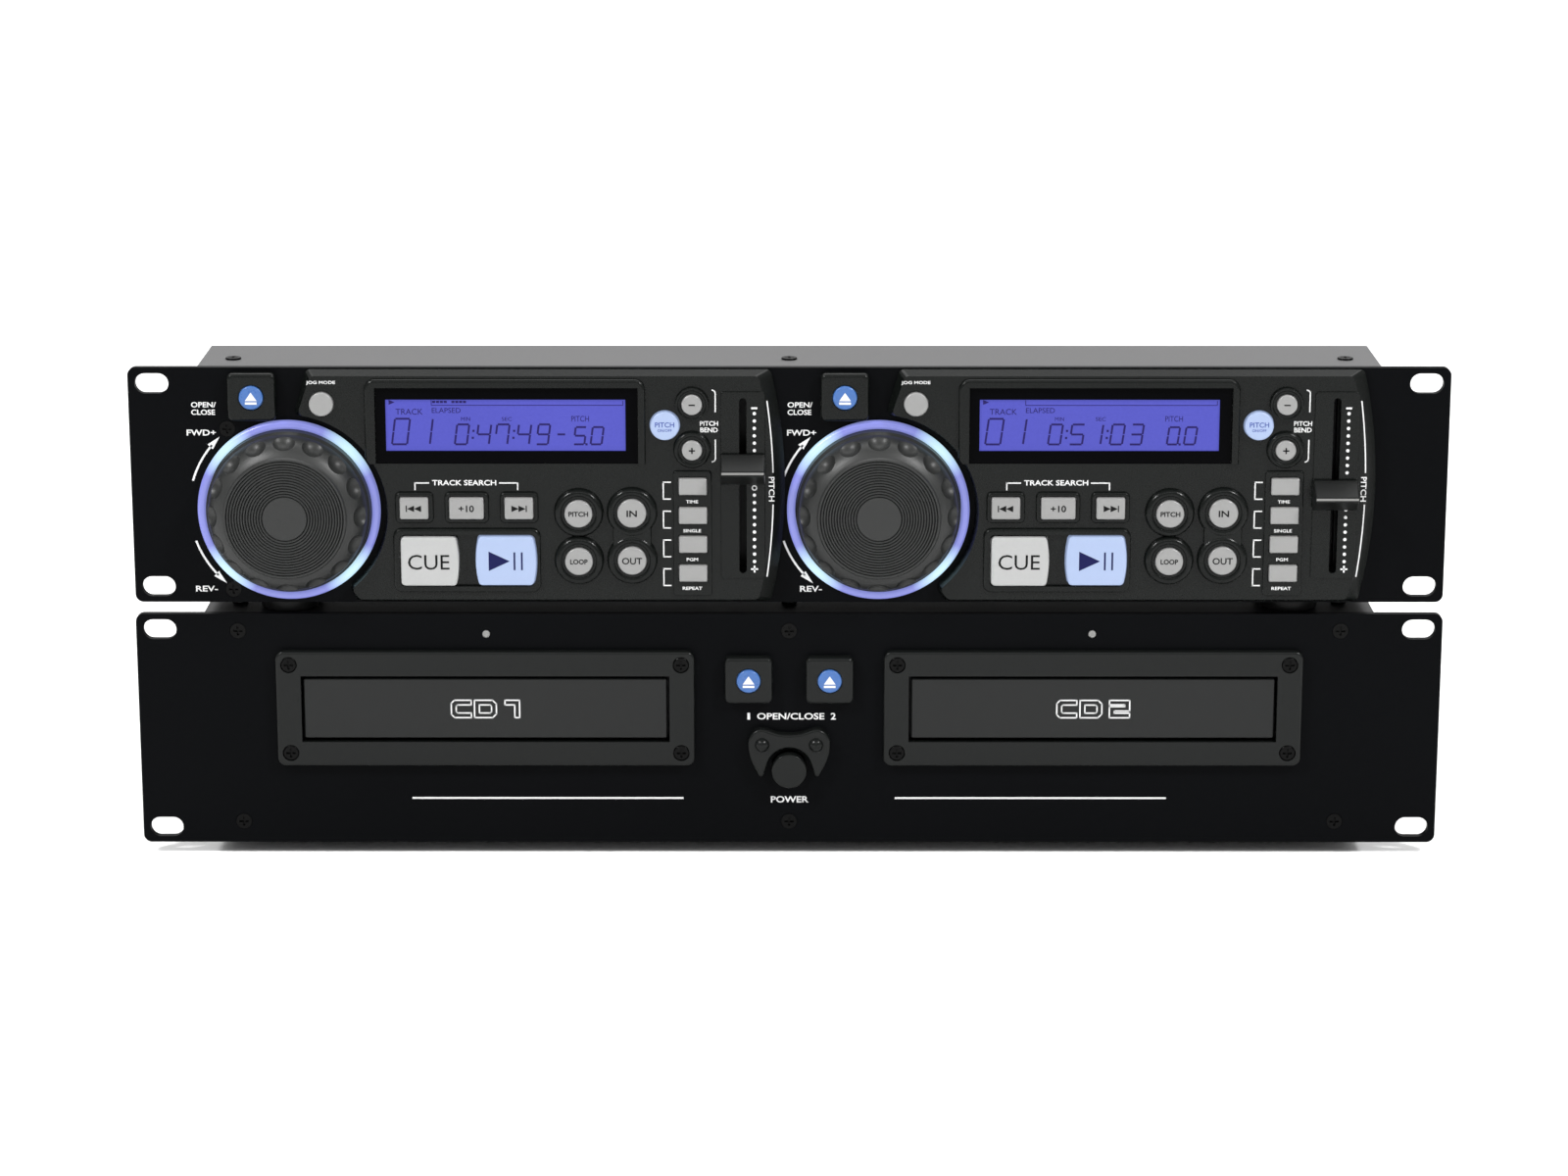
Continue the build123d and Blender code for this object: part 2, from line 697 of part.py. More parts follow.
def disc_loader(x):
    """a tub with rails for the tray, a clamp bridge over it, a spindle below and four posts"""
    tray_bottom = tray_z - tray_drop
    floor = tray_z - loader_height / 2
    inner_width = tray_width + 2 * seat_gap
    middle = drive.y + loader_front + loader_depth / 2
    tray_middle = drive.y - tray_front_face + tray_front_thickness + tray_depth / 2
    centre_y = tray_middle + disc_setback
    with BuildPart() as loader:
        with BuildSketch(Plane.XY.offset(drive.z + floor)):
            with Locations((x, middle)):
                Rectangle(inner_width + 2 * loader_wall, loader_depth)
        extrude(amount=loader_height)
        with BuildSketch(front_plane(drive, -loader_front, x, tray_z + loader_wall / 2)):
            Rectangle(inner_width, loader_height - loader_wall)
        extrude(amount=-loader_depth + loader_wall, mode=Mode.SUBTRACT)
        rail_x = (inner_width - rail_width) / 2
        with BuildSketch(Plane.XY.offset(drive.z + tray_bottom - seat_gap)):
            with Locations((x - rail_x, middle), (x + rail_x, middle)):
                Rectangle(rail_width, loader_depth)
        extrude(amount=-rail_thickness)
        with BuildSketch(Plane.XY.offset(drive.z + tray_bottom + tray_thickness + seat_gap)):
            with Locations((x - rail_x, middle), (x + rail_x, middle)):
                Rectangle(rail_width, loader_depth)
        extrude(amount=rail_thickness)
        with BuildSketch(Plane.XY.offset(drive.z + floor + loader_height)):
            with Locations((x, centre_y)):
                Rectangle(inner_width + 2 * loader_wall, bridge_width)
        extrude(amount=-loader_wall)
        with BuildSketch(Plane.XY.offset(drive.z + floor + loader_height)):
            with Locations((x, centre_y)):
                Circle(puck_radius)
        extrude(amount=-(floor + loader_height - tray_bottom - tray_thickness - loader_floor_gap))
        with BuildSketch(Plane.XY.offset(drive.z + floor)):
            with Locations((x, centre_y)):
                Circle(puck_radius)
            with Locations((x, centre_y + motor_back)):
                RectangleRounded(*motor_size, 2)
        extrude(amount=tray_bottom - floor - loader_floor_gap)
        with BuildSketch(Plane.XY.offset(drive.z + floor)):
            with Locations((x, middle)):
                with GridLocations(inner_width - 2 * loader_post_margin[0],
                                   loader_depth - 2 * loader_post_margin[1], 2, 2):
                    Circle(loader_post_radius)
        extrude(amount=-(floor - case_floor - sheet))
    return loader.part


loaders = [disc_loader(x) for x in (-tray_x, tray_x)]
with BuildPart() as disc_loaders:
    add(loaders)
save(disc_loaders, "disc_loaders")


# ---- boards: a plate on spacers behind the case's front wall, with its switches ----
def key_board(unit, x, width, z, height, switches, spacers):
    with BuildPart() as board:
        with BuildSketch(front_plane(unit, -board_depth)):
            with Locations((x, z)):
                Rectangle(width, height)
        extrude(amount=-board_thickness)
        with BuildSketch(front_plane(unit, -board_depth)):
            with Locations(*switches):
                Rectangle(switch_size, switch_size)
        extrude(amount=switch_height)
        with BuildSketch(front_plane(unit, -board_depth)):
            with Locations(*spacers):
                Circle(spacer_radius)
        extrude(amount=board_depth - wall_back)
    return board.part


# ---- rear sockets ----
def jack(x, z):
    """a round audio jack: plate inside the wall, neck through it, barrel with a blind bore"""
    with BuildPart() as socket:
        with BuildSketch(rear_plane(drive, -sheet, x, z)):
            Rectangle(jack_pitch - 2, jack_pitch - 2)
        extrude(amount=-jack_plate)
        with BuildSketch(rear_plane(drive, -sheet, x, z)):
            Circle(jack_neck)
        extrude(amount=sheet + jack_relief)
        with BuildSketch(rear_plane(drive, jack_relief, x, z)):
            Circle(jack_radius)
        extrude(amount=jack_length - jack_relief)
        with BuildSketch(rear_plane(drive, jack_length, x, z)):
            Circle(jack_bore)
        extrude(amount=-jack_depth, mode=Mode.SUBTRACT)
    return socket.part


def din_socket(unit, x, z):
    """a round control socket: a cup behind the wall, its shell ending flush outside"""
    cup = din_depth + din_plate
    with BuildPart() as socket:
        with BuildSketch(rear_plane(unit, 0, x, z)):
            Circle(din_shell)
        extrude(amount=-cup)
        with BuildSketch(rear_plane(unit, -sheet, x, z)):
            Circle(din_shell + 1.5)
        extrude(amount=-din_plate)
        with BuildSketch(rear_plane(unit, 0, x, z)):
            Circle(din_radius)
        extrude(amount=-din_depth, mode=Mode.SUBTRACT)
    return socket.part


with BuildPart() as mains_inlet:
    with BuildSketch(rear_plane(drive, 0, inlet_x, inlet_z)):
        RectangleRounded(inlet_width, inlet_height, 3)
    extrude(amount=inlet_plate)
    with BuildSketch(rear_plane(drive, 0, inlet_x, inlet_z)):
        Rectangle(inlet_mouth_width + 3.4, inlet_mouth_height + 3.4)
    extrude(amount=-(inlet_mouth_depth - inlet_plate + 2))
    with BuildSketch(rear_plane(drive, inlet_plate, inlet_x, inlet_z)):
        RectangleRounded(inlet_mouth_width, inlet_mouth_height, 2)
    extrude(amount=-inlet_mouth_depth, mode=Mode.SUBTRACT)
    with BuildSketch(rear_plane(drive, inlet_plate - inlet_mouth_depth, inlet_x, inlet_z)):
        with Locations((-blade_spacing / 2, 0), (blade_spacing / 2, 0), (0, 4)):
            Rectangle(blade_height, blade_width)
    extrude(amount=inlet_mouth_depth - 3)

# ---- drive unit: boards, transformer, lamps and sockets ----
main_board_width = case_width - 50
main_board_depth = 52.0
main_board_rise = 8.0
spacer_x = front_board_width / 2 - 4
spacer_z = front_board_height / 2 - 4
front_board = key_board(
    drive, 0, front_board_width, 0, front_board_height, [*eject_places, (0, power_z)],
    [(x, z) for x in (-spacer_x, spacer_x) for z in (-spacer_z, spacer_z)])

with BuildPart() as main_board:
    board_y = drive.y + drive.depth - sheet - main_board_depth / 2 - 10
    board_bottom = drive.z + case_floor + sheet
    with BuildSketch(Plane.XY.offset(board_bottom + main_board_rise)):
        with Locations((0, board_y)):
            Rectangle(main_board_width, main_board_depth)
    extrude(amount=board_thickness)
    with BuildSketch(Plane.XY.offset(board_bottom)):
        with Locations((0, board_y)):
            with GridLocations((main_board_width - 20) / 2, main_board_depth - 10, 3, 2):
                Circle(spacer_radius)
    extrude(amount=main_board_rise)
    with BuildSketch(Plane.XY.offset(board_bottom + main_board_rise + board_thickness)):
        with Locations((-90, board_y), (20, board_y)):
            RectangleRounded(28, 28, 1)
        with Locations((120, board_y - 6)):
            Circle(11)
    extrude(amount=4)

with BuildPart() as transformer:
    with Locations((0, drive.y + 118, drive.z + case_floor + sheet)):
        Box(58, 34, 48, align=(Align.CENTER, Align.CENTER, Align.MIN))
        with Locations((0, 0, 6)):
            Box(42, 54, 36, align=(Align.CENTER, Align.CENTER, Align.MIN))
    fillet(transformer.edges().filter_by(Axis.Z), 2)


def lamp(x, z):
    with BuildPart() as led:
        with BuildSketch(front_plane(drive, -wall_back, x, z)):
            Rectangle(8, 6)
        extrude(amount=-6)
        with BuildSketch(front_plane(drive, -wall_back, x, z)):
            Circle(led_radius)
        extrude(amount=wall_back + 0.4)
        fillet(led.faces().sort_by(Axis.Y)[0].edges(), 0.5)
    return led.part


lamps = [lamp(x, z) for x, z in led_places]
jacks = [jack(x, z) for x, z in jack_places]
drive_dins = [din_socket(drive, x, z) for x, z in din_places]
with BuildPart() as drive_electronics:
    add([front_board, main_board.part, transformer.part, mains_inlet.part])
    add(lamps)
    add(jacks)
    add(drive_dins)
save(drive_electronics, "drive_electronics")

# ---- drive unit: screws and feet ----
with BuildPart() as drive_screws:
    with Locations(*[facing_user(drive, 0, x, z) for x, z in drive_panel_screws]):
        add(flush_screw)
    with Locations(*[facing_user(drive, bezel_thickness - head_height, x, z)
                     for x, z in bezel_screw_places]):
        add(raised_screw)
    with Locations(*[(x, y, drive.z + case_top + sheet) for x, y in cover_screw_places(drive)]):
        add(cover_screw)
save(drive_screws, "drive_screws")

with BuildPart() as drive_feet:
    with Locations(*[(x, y, 0) for x in (-foot_x, foot_x)
                     for y in (drive.y + drive_foot_margin_front,
                               drive.y + drive.depth - drive_foot_margin_rear)]):
        add(foot.part)
save(drive_feet, "drive_feet")


# ---- control unit: fascias ----
def fascia_outline(slope):
    """a deck's outline round its wheel's centre line; slope is 0 at the panel, 1 at the face"""
    side = edge_slope * slope
    arc = fascia_cutout + 1.0 * slope
    top = fascia_top - side
    bottom = fascia_bottom + side
    left = fascia_left + 1.2 * side
    right = fascia_right - right_slope * slope
    foot_x = fascia_foot_x + 0.8 * side
    upper = radians(86.0 - 3.0 * slope)
    lower = radians(-53.0 + 1.0 * slope)
    start = (arc * cos(upper), wheel_z + arc * sin(upper))
    end = (arc * cos(lower), wheel_z + arc * sin(lower))
    middle = (right + fascia_bulge, (top + bottom) / 2)
    with BuildSketch(mode=Mode.PRIVATE) as outline:
        with BuildLine():
            Line((left, top), (right, top))
            ThreePointArc((right, top), middle, (right, bottom))
            Line((right, bottom), (foot_x, bottom))
            Line((foot_x, bottom), end)
            ThreePointArc(end, (arc, wheel_z), start)
            Line(start, (left, top))
        make_face()
        fillet(outline.vertices(), 2.0)
    return outline.sketch


def window_outline():
    """the room behind a fascia, the same hole in the panel and the case"""
    with BuildSketch(mode=Mode.PRIVATE) as outline:
        with Locations(((window_left + window_right) / 2, 0)):
            Rectangle(window_right - window_left, window_height)
        with Locations((0, wheel_z)):
            Circle(cutout_over_window, mode=Mode.SUBTRACT)
        with Locations((jog_mode_key.x, jog_mode_key.z)):
            Circle(pocket_radius)
    return outline.sketch


def raised_pad(x, shapes, rise, edge):
    """a raised border on the fascia, its outer edge rounded"""
    with BuildPart() as pad:
        with BuildSketch(front_plane(control, fascia_height, x)):
            for (px, pz), shape in shapes:
                with Locations((px, pz)):
                    add(shape)
        extrude(amount=rise)
        fillet(pad.faces().sort_by(Axis.Y)[0].edges(), edge)
    return pad.part


def rounded(width, height, corner):
    with BuildSketch(mode=Mode.PRIVATE) as shape:
        RectangleRounded(width, height, corner)
    return shape.sketch


def disc(radius):
    with BuildSketch(mode=Mode.PRIVATE) as shape:
        Circle(radius)
    return shape.sketch


collar_grow = 2.8
small_collar_grow = 2.4
surround_grow = 1.8
loop_rise = 1.8
pair_z = (in_key.z + out_key.z) / 2
pair_waist = 14.0
cue_frame_x = (cue_key.x + play_key.x) / 2 - 0.4
cue_frame_width = 54.0
cue_frame_height = 24.1
cue_frame_border = 2.3
strip_z = -16.5
strip_width = 14.1
strip_height = 47.0


def fascia_pads(x):
    pads = []
    for key in track_keys:
        outline = rounded(key.width + 2 * surround_grow, key.height + 2 * surround_grow, 2.0)
        pads.append(raised_pad(x, [((key.x, key.z), outline)], 1.3, 0.9))
    for key in (pitch_key, loop_key):
        pads.append(raised_pad(x, [((key.x, key.z), disc(key.width / 2 + collar_grow))], loop_rise, 1.3))
    pair = [((key.x, key.z), disc(key.width / 2 + collar_grow)) for key in (in_key, out_key)]
    pair.append(((in_key.x, pair_z), rounded(pair_waist, in_key.z - out_key.z, 0.5)))
    pads.append(raised_pad(x, pair, loop_rise, 1.0))
    for key in (bend_down_key, bend_up_key):
        pads.append(raised_pad(x, [((key.x, key.z), disc(key.width / 2 + small_collar_grow))], 1.5, 1.1))
    frame = rounded(cue_frame_width, cue_frame_height, 3.2)
    pads.append(raised_pad(x, [((cue_frame_x, cue_key.z), frame)], 1.4, 1.0))
    strip = rounded(strip_width, strip_height, 1.2)
    pads.append(raised_pad(x, [((function_keys[0].x - 0.2, strip_z), strip)], 0.9, 0.6))
    plate = rounded(fader_plate_width, fader_plate_height, 1.2)
    pads.append(raised_pad(x, [((fader_x, fader_plate_z), plate)], fader_plate_rise, 0.4))
    frame_height = lens_height + frame_top_border + frame_corner
    frame_z = lens_z + lens_height / 2 + frame_top_border - frame_height / 2
    border = rounded(frame_width, frame_height, frame_corner)
    pads.append(raised_pad(x, [((lens_x - 0.6, frame_z), border)], frame_rise, 1.1))
    return pads


def deck_fascia(x):
    pads = fascia_pads(x)
    outer = [fascia_outline(0), fascia_outline(1)]
    window = window_outline()
    holes = [(key, key_outline(key, key_gap)) for key in deck_keys]
    through = fascia_height + loop_rise + 1
    with BuildPart() as fascia:
        with BuildSketch(front_plane(control, 0, x)):
            add(outer[0])
        extrude(amount=fascia_base)
        with BuildSketch(front_plane(control, fascia_base, x)):
            add(outer[0])
        with BuildSketch(front_plane(control, fascia_height, x)):
            add(outer[1])
        loft(ruled=True)
        add(pads)
        with BuildSketch(front_plane(control, fascia_height - 0.4, x)):
            with Locations((cue_frame_x, cue_key.z)):
                RectangleRounded(cue_frame_width - 2 * cue_frame_border,
                                 cue_frame_height - 2 * cue_frame_border, 1.8)
        extrude(amount=loop_rise + 1, mode=Mode.SUBTRACT)
        with BuildSketch(front_plane(control, 0, x)):
            add(window)
        extrude(amount=fascia_height - fascia_wall, mode=Mode.SUBTRACT)
        with BuildSketch(front_plane(control, fascia_height - lens_thickness, x)):
            with Locations((lens_x, lens_z)):
                Rectangle(lens_width + 2 * hole_clearance, lens_height + 2 * hole_clearance)
        extrude(amount=frame_rise + lens_thickness + 1, mode=Mode.SUBTRACT)
        with BuildSketch(front_plane(control, fascia_height, x)):
            with Locations((lens_x, lens_z - lens_height / 2 - frame_corner)):
                Rectangle(frame_width + 2, 2 * frame_corner)
        extrude(amount=frame_rise + 1, mode=Mode.SUBTRACT)
        with BuildSketch(front_plane(control, 0, x)):
            with Locations((0, wheel_z)):
                Circle(fascia_cutout)
        extrude(amount=through, mode=Mode.SUBTRACT)
        with BuildSketch(front_plane(control, 0, x)):
            with Locations((lens_x, lens_z)):
                Rectangle(lens_width - 2 * lens_rim, lens_height - 2 * lens_rim)
            with Locations((fader_x, fader_slot_z)):
                SlotOverall(fader_slot_length, fader_slot_width, rotation=90)
            for key, outline in holes:
                with Locations((key.x, key.z)):
                    add(outline)
        extrude(amount=through, mode=Mode.SUBTRACT)
    return fascia.part


fascias = [deck_fascia(x) for x in deck_x]
control_bezels = [square_bezel(control, x + open_key_x, open_key_z) for x in deck_x]
with BuildPart() as control_fascias:
    add(fascias)
    add(control_bezels)
save(control_fascias, "control_fascias")

# ---- control unit: front panel, case and cover ----
windows = window_outline()
open_places = [(x + open_key_x, open_key_z) for x in deck_x]
with BuildPart() as control_front_panel:
    add(rack_panel(control))
    with BuildSketch(front_plane(control, 0)):
        with Locations(*[(x, 0) for x in deck_x]):
            add(windows)
        with Locations(*[(x, wheel_z) for x in deck_x]):
            Circle(ring_collar_radius + hole_clearance)
        with Locations(*open_places):
            Circle(pocket_radius)
    extrude(amount=-panel_thickness, mode=Mode.SUBTRACT)
    with Locations(*[facing_user(control, 0, x, z) for x, z in control_panel_screws]):
        CounterSinkHole(shank_radius + hole_clearance, head_radius + hole_clearance,
                        panel_thickness, 75)
save(control_front_panel, "control_front_panel")

control_din_places = [(-control_din_x, control_din_z), (control_din_x, control_din_z)]
with BuildPart() as control_chassis:
    add(open_case(control))
    with BuildSketch(front_plane(control, -panel_thickness)):
        with Locations(*[(x, 0) for x in deck_x]):
            add(windows)
        with Locations(*[(x, wheel_z) for x in deck_x]):
            Circle(encoder_radius - 2)
        with Locations(*open_places):
            Circle(pocket_radius)
        with Locations(*control_panel_screws):
            Circle(shank_radius + hole_clearance)
    extrude(amount=-sheet, mode=Mode.SUBTRACT)
    with BuildSketch(Plane.XY.offset(control.z + case_top)):
        with Locations(*cover_screw_places(control)):
            Circle(shank_radius + hole_clearance)
    extrude(amount=-sheet, mode=Mode.SUBTRACT)
    with BuildSketch(Plane.XY.offset(control.z + case_floor)):
        with Locations(*[(x, control.y + y) for x, y in floor_screws]):
            Circle(shank_radius + hole_clearance)
    extrude(amount=sheet, mode=Mode.SUBTRACT)
    with BuildSketch(front_plane(control, -control.depth)):
        with Locations(*control_din_places):
            Circle(din_shell + seat_gap)
    extrude(amount=sheet, mode=Mode.SUBTRACT)
save(control_chassis, "control_chassis")

with BuildPart() as control_top_cover:
    add(top_cover(control))
    with BuildSketch(Plane.XY.offset(control.z + case_top)):
        with Locations(*cover_screw_places(control)):
            Circle(shank_radius + hole_clearance)
    extrude(amount=sheet, mode=Mode.SUBTRACT)
save(control_top_cover, "control_top_cover")


# ---- control unit: display lenses and light rings ----
def light_ring(x):
    with BuildPart() as ring:
        with BuildSketch(front_plane(control, 0, x, wheel_z)):
            Circle(ring_radius)
        extrude(amount=ring_height)
        fillet(ring.faces().sort_by(Axis.Y)[0].edges(), 1.0)
        with BuildSketch(front_plane(control, 0, x, wheel_z)):
            Circle(ring_collar_radius)
        extrude(amount=-panel_thickness)
        with BuildSketch(front_plane(control, -panel_thickness, x, wheel_z)):
            Circle(ring_bore)
        extrude(amount=panel_thickness + ring_height, mode=Mode.SUBTRACT)
    return ring.part


rings = [light_ring(x) for x in deck_x]
with BuildPart() as control_lenses:
    with BuildSketch(front_plane(control, fascia_height)):
        with Locations(*[(x + lens_x, lens_z) for x in deck_x]):
            Rectangle(lens_width, lens_height)
    extrude(amount=-lens_thickness)
    add(rings)
save(control_lenses, "control_lenses")


# ---- control unit: deck boards with switches, encoder, fader and display module ----
def deck_board(x):
    switches = [(x + key.x, key.z) for key in deck_keys] + [(x + open_key_x, open_key_z)]
    left, right = x + board_left, x + fader_x + fader_to_board_edge
    spacers = [(left + 4, -30), (left + 4, 10), (right - 3.2, -34), (right - 3.2, 34)]
    board = key_board(control, (left + right) / 2, right - left, 0.5, 78, switches, spacers)
    with BuildPart() as deck:
        add(board)
        with BuildSketch(front_plane(control, -board_depth, x, wheel_z)):
            Circle(encoder_radius)
        extrude(amount=encoder_height)
        with BuildSketch(front_plane(control, -board_depth, x, wheel_z)):
            Circle(shaft_radius + shaft_clearance)
        extrude(amount=encoder_height, mode=Mode.SUBTRACT)
        with BuildSketch(front_plane(control, -board_depth, x + fader_x, fader_slot_z)):
            Rectangle(fader_body_width, fader_body_length)
        extrude(amount=fader_body_height)
        with BuildSketch(front_plane(control, -board_depth + 1.5, x + fader_x, fader_slot_z)):
            Rectangle(fader_stem_width + 2 * seat_gap, fader_slot_length)
        extrude(amount=fader_body_height, mode=Mode.SUBTRACT)
        with BuildSketch(front_plane(control, -board_depth, x + lens_x, module_z)):
            Rectangle(module_width, module_height)
        extrude(amount=board_depth + flange_face)
    return deck.part


deck_boards = [deck_board(x) for x in deck_x]
control_dins = [din_socket(control, x, z) for x, z in control_din_places]
with BuildPart() as control_electronics:
    add(deck_boards)
    add(control_dins)
save(control_electronics, "control_electronics")


# ---- control unit: jog wheels ----
def jog_wheel(x):
    hub = [(0, wheel_sink), (wheel_radius - 0.8, wheel_sink), (wheel_radius, 0.2)]
    rim = [(wheel_radius, -wheel_rim_top), (wheel_radius - 0.9, -wheel_rim_top - 1.4)]
    shoulder = [(25.4, -13.9), (wheel_disc_radius + 0.9, -15.5), (wheel_disc_radius + 0.5, -15.7)]
    step = [(wheel_disc_radius, -wheel_top), (wheel_disc_radius - 0.4, -wheel_top)]
    pitch = (wheel_disc_radius - 0.6 - wheel_hub_radius) / groove_count
    grooves = []
    for i in range(groove_count):
        r = wheel_disc_radius - 0.6 - i * pitch
        grooves += [(r, -wheel_top), (r - groove_width / 2, -wheel_top + groove_depth),
                    (r - groove_width, -wheel_top)]
    axis_plane = Plane(origin=(x, control.y, control.z + wheel_z), x_dir=(1, 0, 0), z_dir=(0, 0, 1))
    with BuildPart() as wheel:
        with BuildSketch(axis_plane):
            with BuildLine():
                Polyline(*hub, *rim)
                Spline(rim[-1], shoulder[0], shoulder[1])
                Polyline(*shoulder[1:], *step, *grooves, (0, -wheel_top), (0, wheel_sink))
            make_face()
        revolve(axis=Axis((x, control.y, control.z + wheel_z), (0, 1, 0)))
        with Locations(front_plane(control, 13.4, x, wheel_z)):
            with PolarLocations(30.3, dimple_count):
                Sphere(dimple_ball, mode=Mode.SUBTRACT)
        with BuildSketch(front_plane(control, -wheel_sink, x, wheel_z)):
            Circle(shaft_radius)
        extrude(amount=-(board_depth - wheel_sink - seat_gap))
    return wheel


for name, x in zip(deck_names, deck_x):
    save(jog_wheel(x), f"{name}_jog_wheel")


# ---- control unit: pitch faders ----
def pitch_fader(x, z):
    base = fascia_height + fader_plate_rise + seat_gap
    with BuildPart() as fader:
        with BuildSketch(front_plane(control, base, x + fader_x, z)):
            RectangleRounded(fader_cap_width, fader_cap_height, 0.6)
        extrude(amount=1.6)
        with BuildSketch(front_plane(control, base + 1.6, x + fader_x, z)):
            RectangleRounded(fader_cap_width, fader_cap_height, 0.6)
        with BuildSketch(front_plane(control, fader_cap_top, x + fader_x, z)):
            RectangleRounded(fader_cap_width - 0.6, fader_cap_ridge, 0.6)
        loft(ruled=True)
        with BuildSketch(front_plane(control, base, x + fader_x, z)):
            SlotOverall(fader_stem_height, fader_stem_width, rotation=90)
        extrude(amount=-(base + board_depth - 1.5 - seat_gap))
    return fader


for name, x, z in zip(deck_names, deck_x, fader_rest):
    save(pitch_fader(x, z), f"{name}_pitch_fader")

# ---- control unit: buttons ----
open_key = round_key("open", 0.0, open_key_z, open_key_size, 0)
for name, x in zip(deck_names, deck_x):
    make_button(f"{name}_open_button", control, x + open_key_x, open_key, open_key_top, eject_flange)
    for key in deck_keys:
        make_button(f"{name}_{key.name}_button", control, x + key.x, key,
                    fascia_height + key.rise, flange_face)

# ---- control unit: feet and screws ----
with BuildPart() as control_feet_and_screws:
    with Locations(*[(x, control.y + y, control.z + case_floor - foot_height)
                     for x in (-foot_x, foot_x) for y in (control_foot_front, control_foot_rear)]):
        add(foot.part)
    with Locations(*[facing_user(control, 0, x, z) for x, z in control_panel_screws]):
        add(flush_screw)
    with Locations(*[(x, y, control.z + case_top + sheet) for x, y in cover_screw_places(control)]):
        add(cover_screw)
    with Locations(*[Location((x, control.y + y, control.z + case_floor), (180, 0, 0))
                     for x, y in floor_screws]):
        add(cover_screw)
save(control_feet_and_screws, "control_feet_and_screws")
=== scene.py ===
import math

import bmesh
import bpy
from mathutils import Matrix, Vector


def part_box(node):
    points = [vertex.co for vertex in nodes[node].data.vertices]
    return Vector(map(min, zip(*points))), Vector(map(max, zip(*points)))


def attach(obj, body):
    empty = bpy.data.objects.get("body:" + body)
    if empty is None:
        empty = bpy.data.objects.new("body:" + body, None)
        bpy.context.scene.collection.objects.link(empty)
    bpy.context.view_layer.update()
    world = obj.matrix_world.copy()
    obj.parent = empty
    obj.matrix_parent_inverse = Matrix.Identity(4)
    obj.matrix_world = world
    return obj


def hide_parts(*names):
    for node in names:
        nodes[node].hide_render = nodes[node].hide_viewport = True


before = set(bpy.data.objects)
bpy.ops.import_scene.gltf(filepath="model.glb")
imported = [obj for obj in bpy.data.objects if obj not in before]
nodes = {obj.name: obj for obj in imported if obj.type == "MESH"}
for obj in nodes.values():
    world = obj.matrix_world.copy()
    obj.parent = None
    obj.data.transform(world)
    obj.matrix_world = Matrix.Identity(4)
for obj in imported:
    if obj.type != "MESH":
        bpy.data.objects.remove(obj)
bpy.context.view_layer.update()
mm = 0.001

# places that everything else is measured from
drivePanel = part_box("drive_front_panel")
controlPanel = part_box("control_front_panel")
driveBody = "root"
controlBody = "control_unit"
driveFace = Vector((0, drivePanel[0].y, (drivePanel[0].z + drivePanel[1].z) / 2))
controlFace = Vector((0, controlPanel[0].y, (controlPanel[0].z + controlPanel[1].z) / 2))
fasciaFront = 6.0  # mm in front of the control panel
decks = []
for side in ("left", "right"):
    low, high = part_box(side + "_jog_wheel")
    middle = (low.x + high.x) / 2
    decks.append({"side": side, "x": middle, "z": (low.z + high.z) / 2,
                  "origin": Vector((middle, controlFace.y, controlFace.z))})
print("frame loaded:", len(nodes), "nodes")

# camera and studio
cameraSet = {"lens": 95.64, "place": (-0.26, -1489.13, 426.69), "pitchDown": 14.055, "yaw": 0.063}


def addCamera(settings):
    data = bpy.data.cameras.new("camera")
    data.lens = settings["lens"]
    data.sensor_width = 36.0
    data.clip_start = 0.05
    data.clip_end = 20.0
    camera = bpy.data.objects.new("camera", data)
    bpy.context.scene.collection.objects.link(camera)
    camera.location = driveFace + Vector(settings["place"]) * mm
    pitch = math.radians(90 - settings["pitchDown"])
    camera.rotation_euler = (pitch, 0, math.radians(settings["yaw"]))
    bpy.context.scene.camera = camera


addCamera(cameraSet)
bpy.context.scene.view_settings.view_transform = "Standard"

studio = {
    "worldColour": (1.0, 1.0, 1.0),
    "worldStrength": 0.6,
    "floorColour": (0.88, 0.88, 0.88),
    "floorSize": 12.0,
    "lamps": [
        # name, place, aimed at, size, watts
        ("topLight", (0.0, 0.45, 1.9), (0.0, 0.0, 0.1), (2.2, 1.2), 30.0),
        ("leftLight", (-1.1, -1.0, 1.35), (0.0, 0.0, 0.1), (0.16, 0.3), 26.0),
        ("rightLight", (1.1, -1.0, 1.35), (0.0, 0.0, 0.1), (0.16, 0.3), 26.0),
        ("frontLight", (0.0, -2.2, 1.9), (0.0, 0.0, 0.1), (1.6, 0.5), 9.0),
        ("backdropLight", (0.0, 3.3, 1.9), (0.0, 3.301, 0.0), (5.0, 2.6), 90.0),
    ],
}


def addStudio(settings):
    world = bpy.data.worlds.new("studioWorld")
    bpy.context.scene.world = world
    world.use_nodes = True
    backdrop = world.node_tree.nodes["Background"]
    backdrop.inputs["Color"].default_value = (*settings["worldColour"], 1)
    backdrop.inputs["Strength"].default_value = settings["worldStrength"]
    for name, place, target, size, watts in settings["lamps"]:
        lamp = bpy.data.lights.new(name, "AREA")
        lamp.shape = "RECTANGLE"
        lamp.size, lamp.size_y = size
        lamp.energy = watts
        holder = bpy.data.objects.new(name, lamp)
        bpy.context.scene.collection.objects.link(holder)
        holder.location = place
        aim = Vector(target) - Vector(place)
        holder.rotation_euler = aim.to_track_quat("-Z", "Y").to_euler()
    mesh = bmesh.new()
    bmesh.ops.create_grid(mesh, x_segments=1, y_segments=1, size=settings["floorSize"] / 2)
    floor = finishPiece("studioFloor", mesh, None)
    floor.data.materials.append(floorMaterial(settings["floorColour"]))


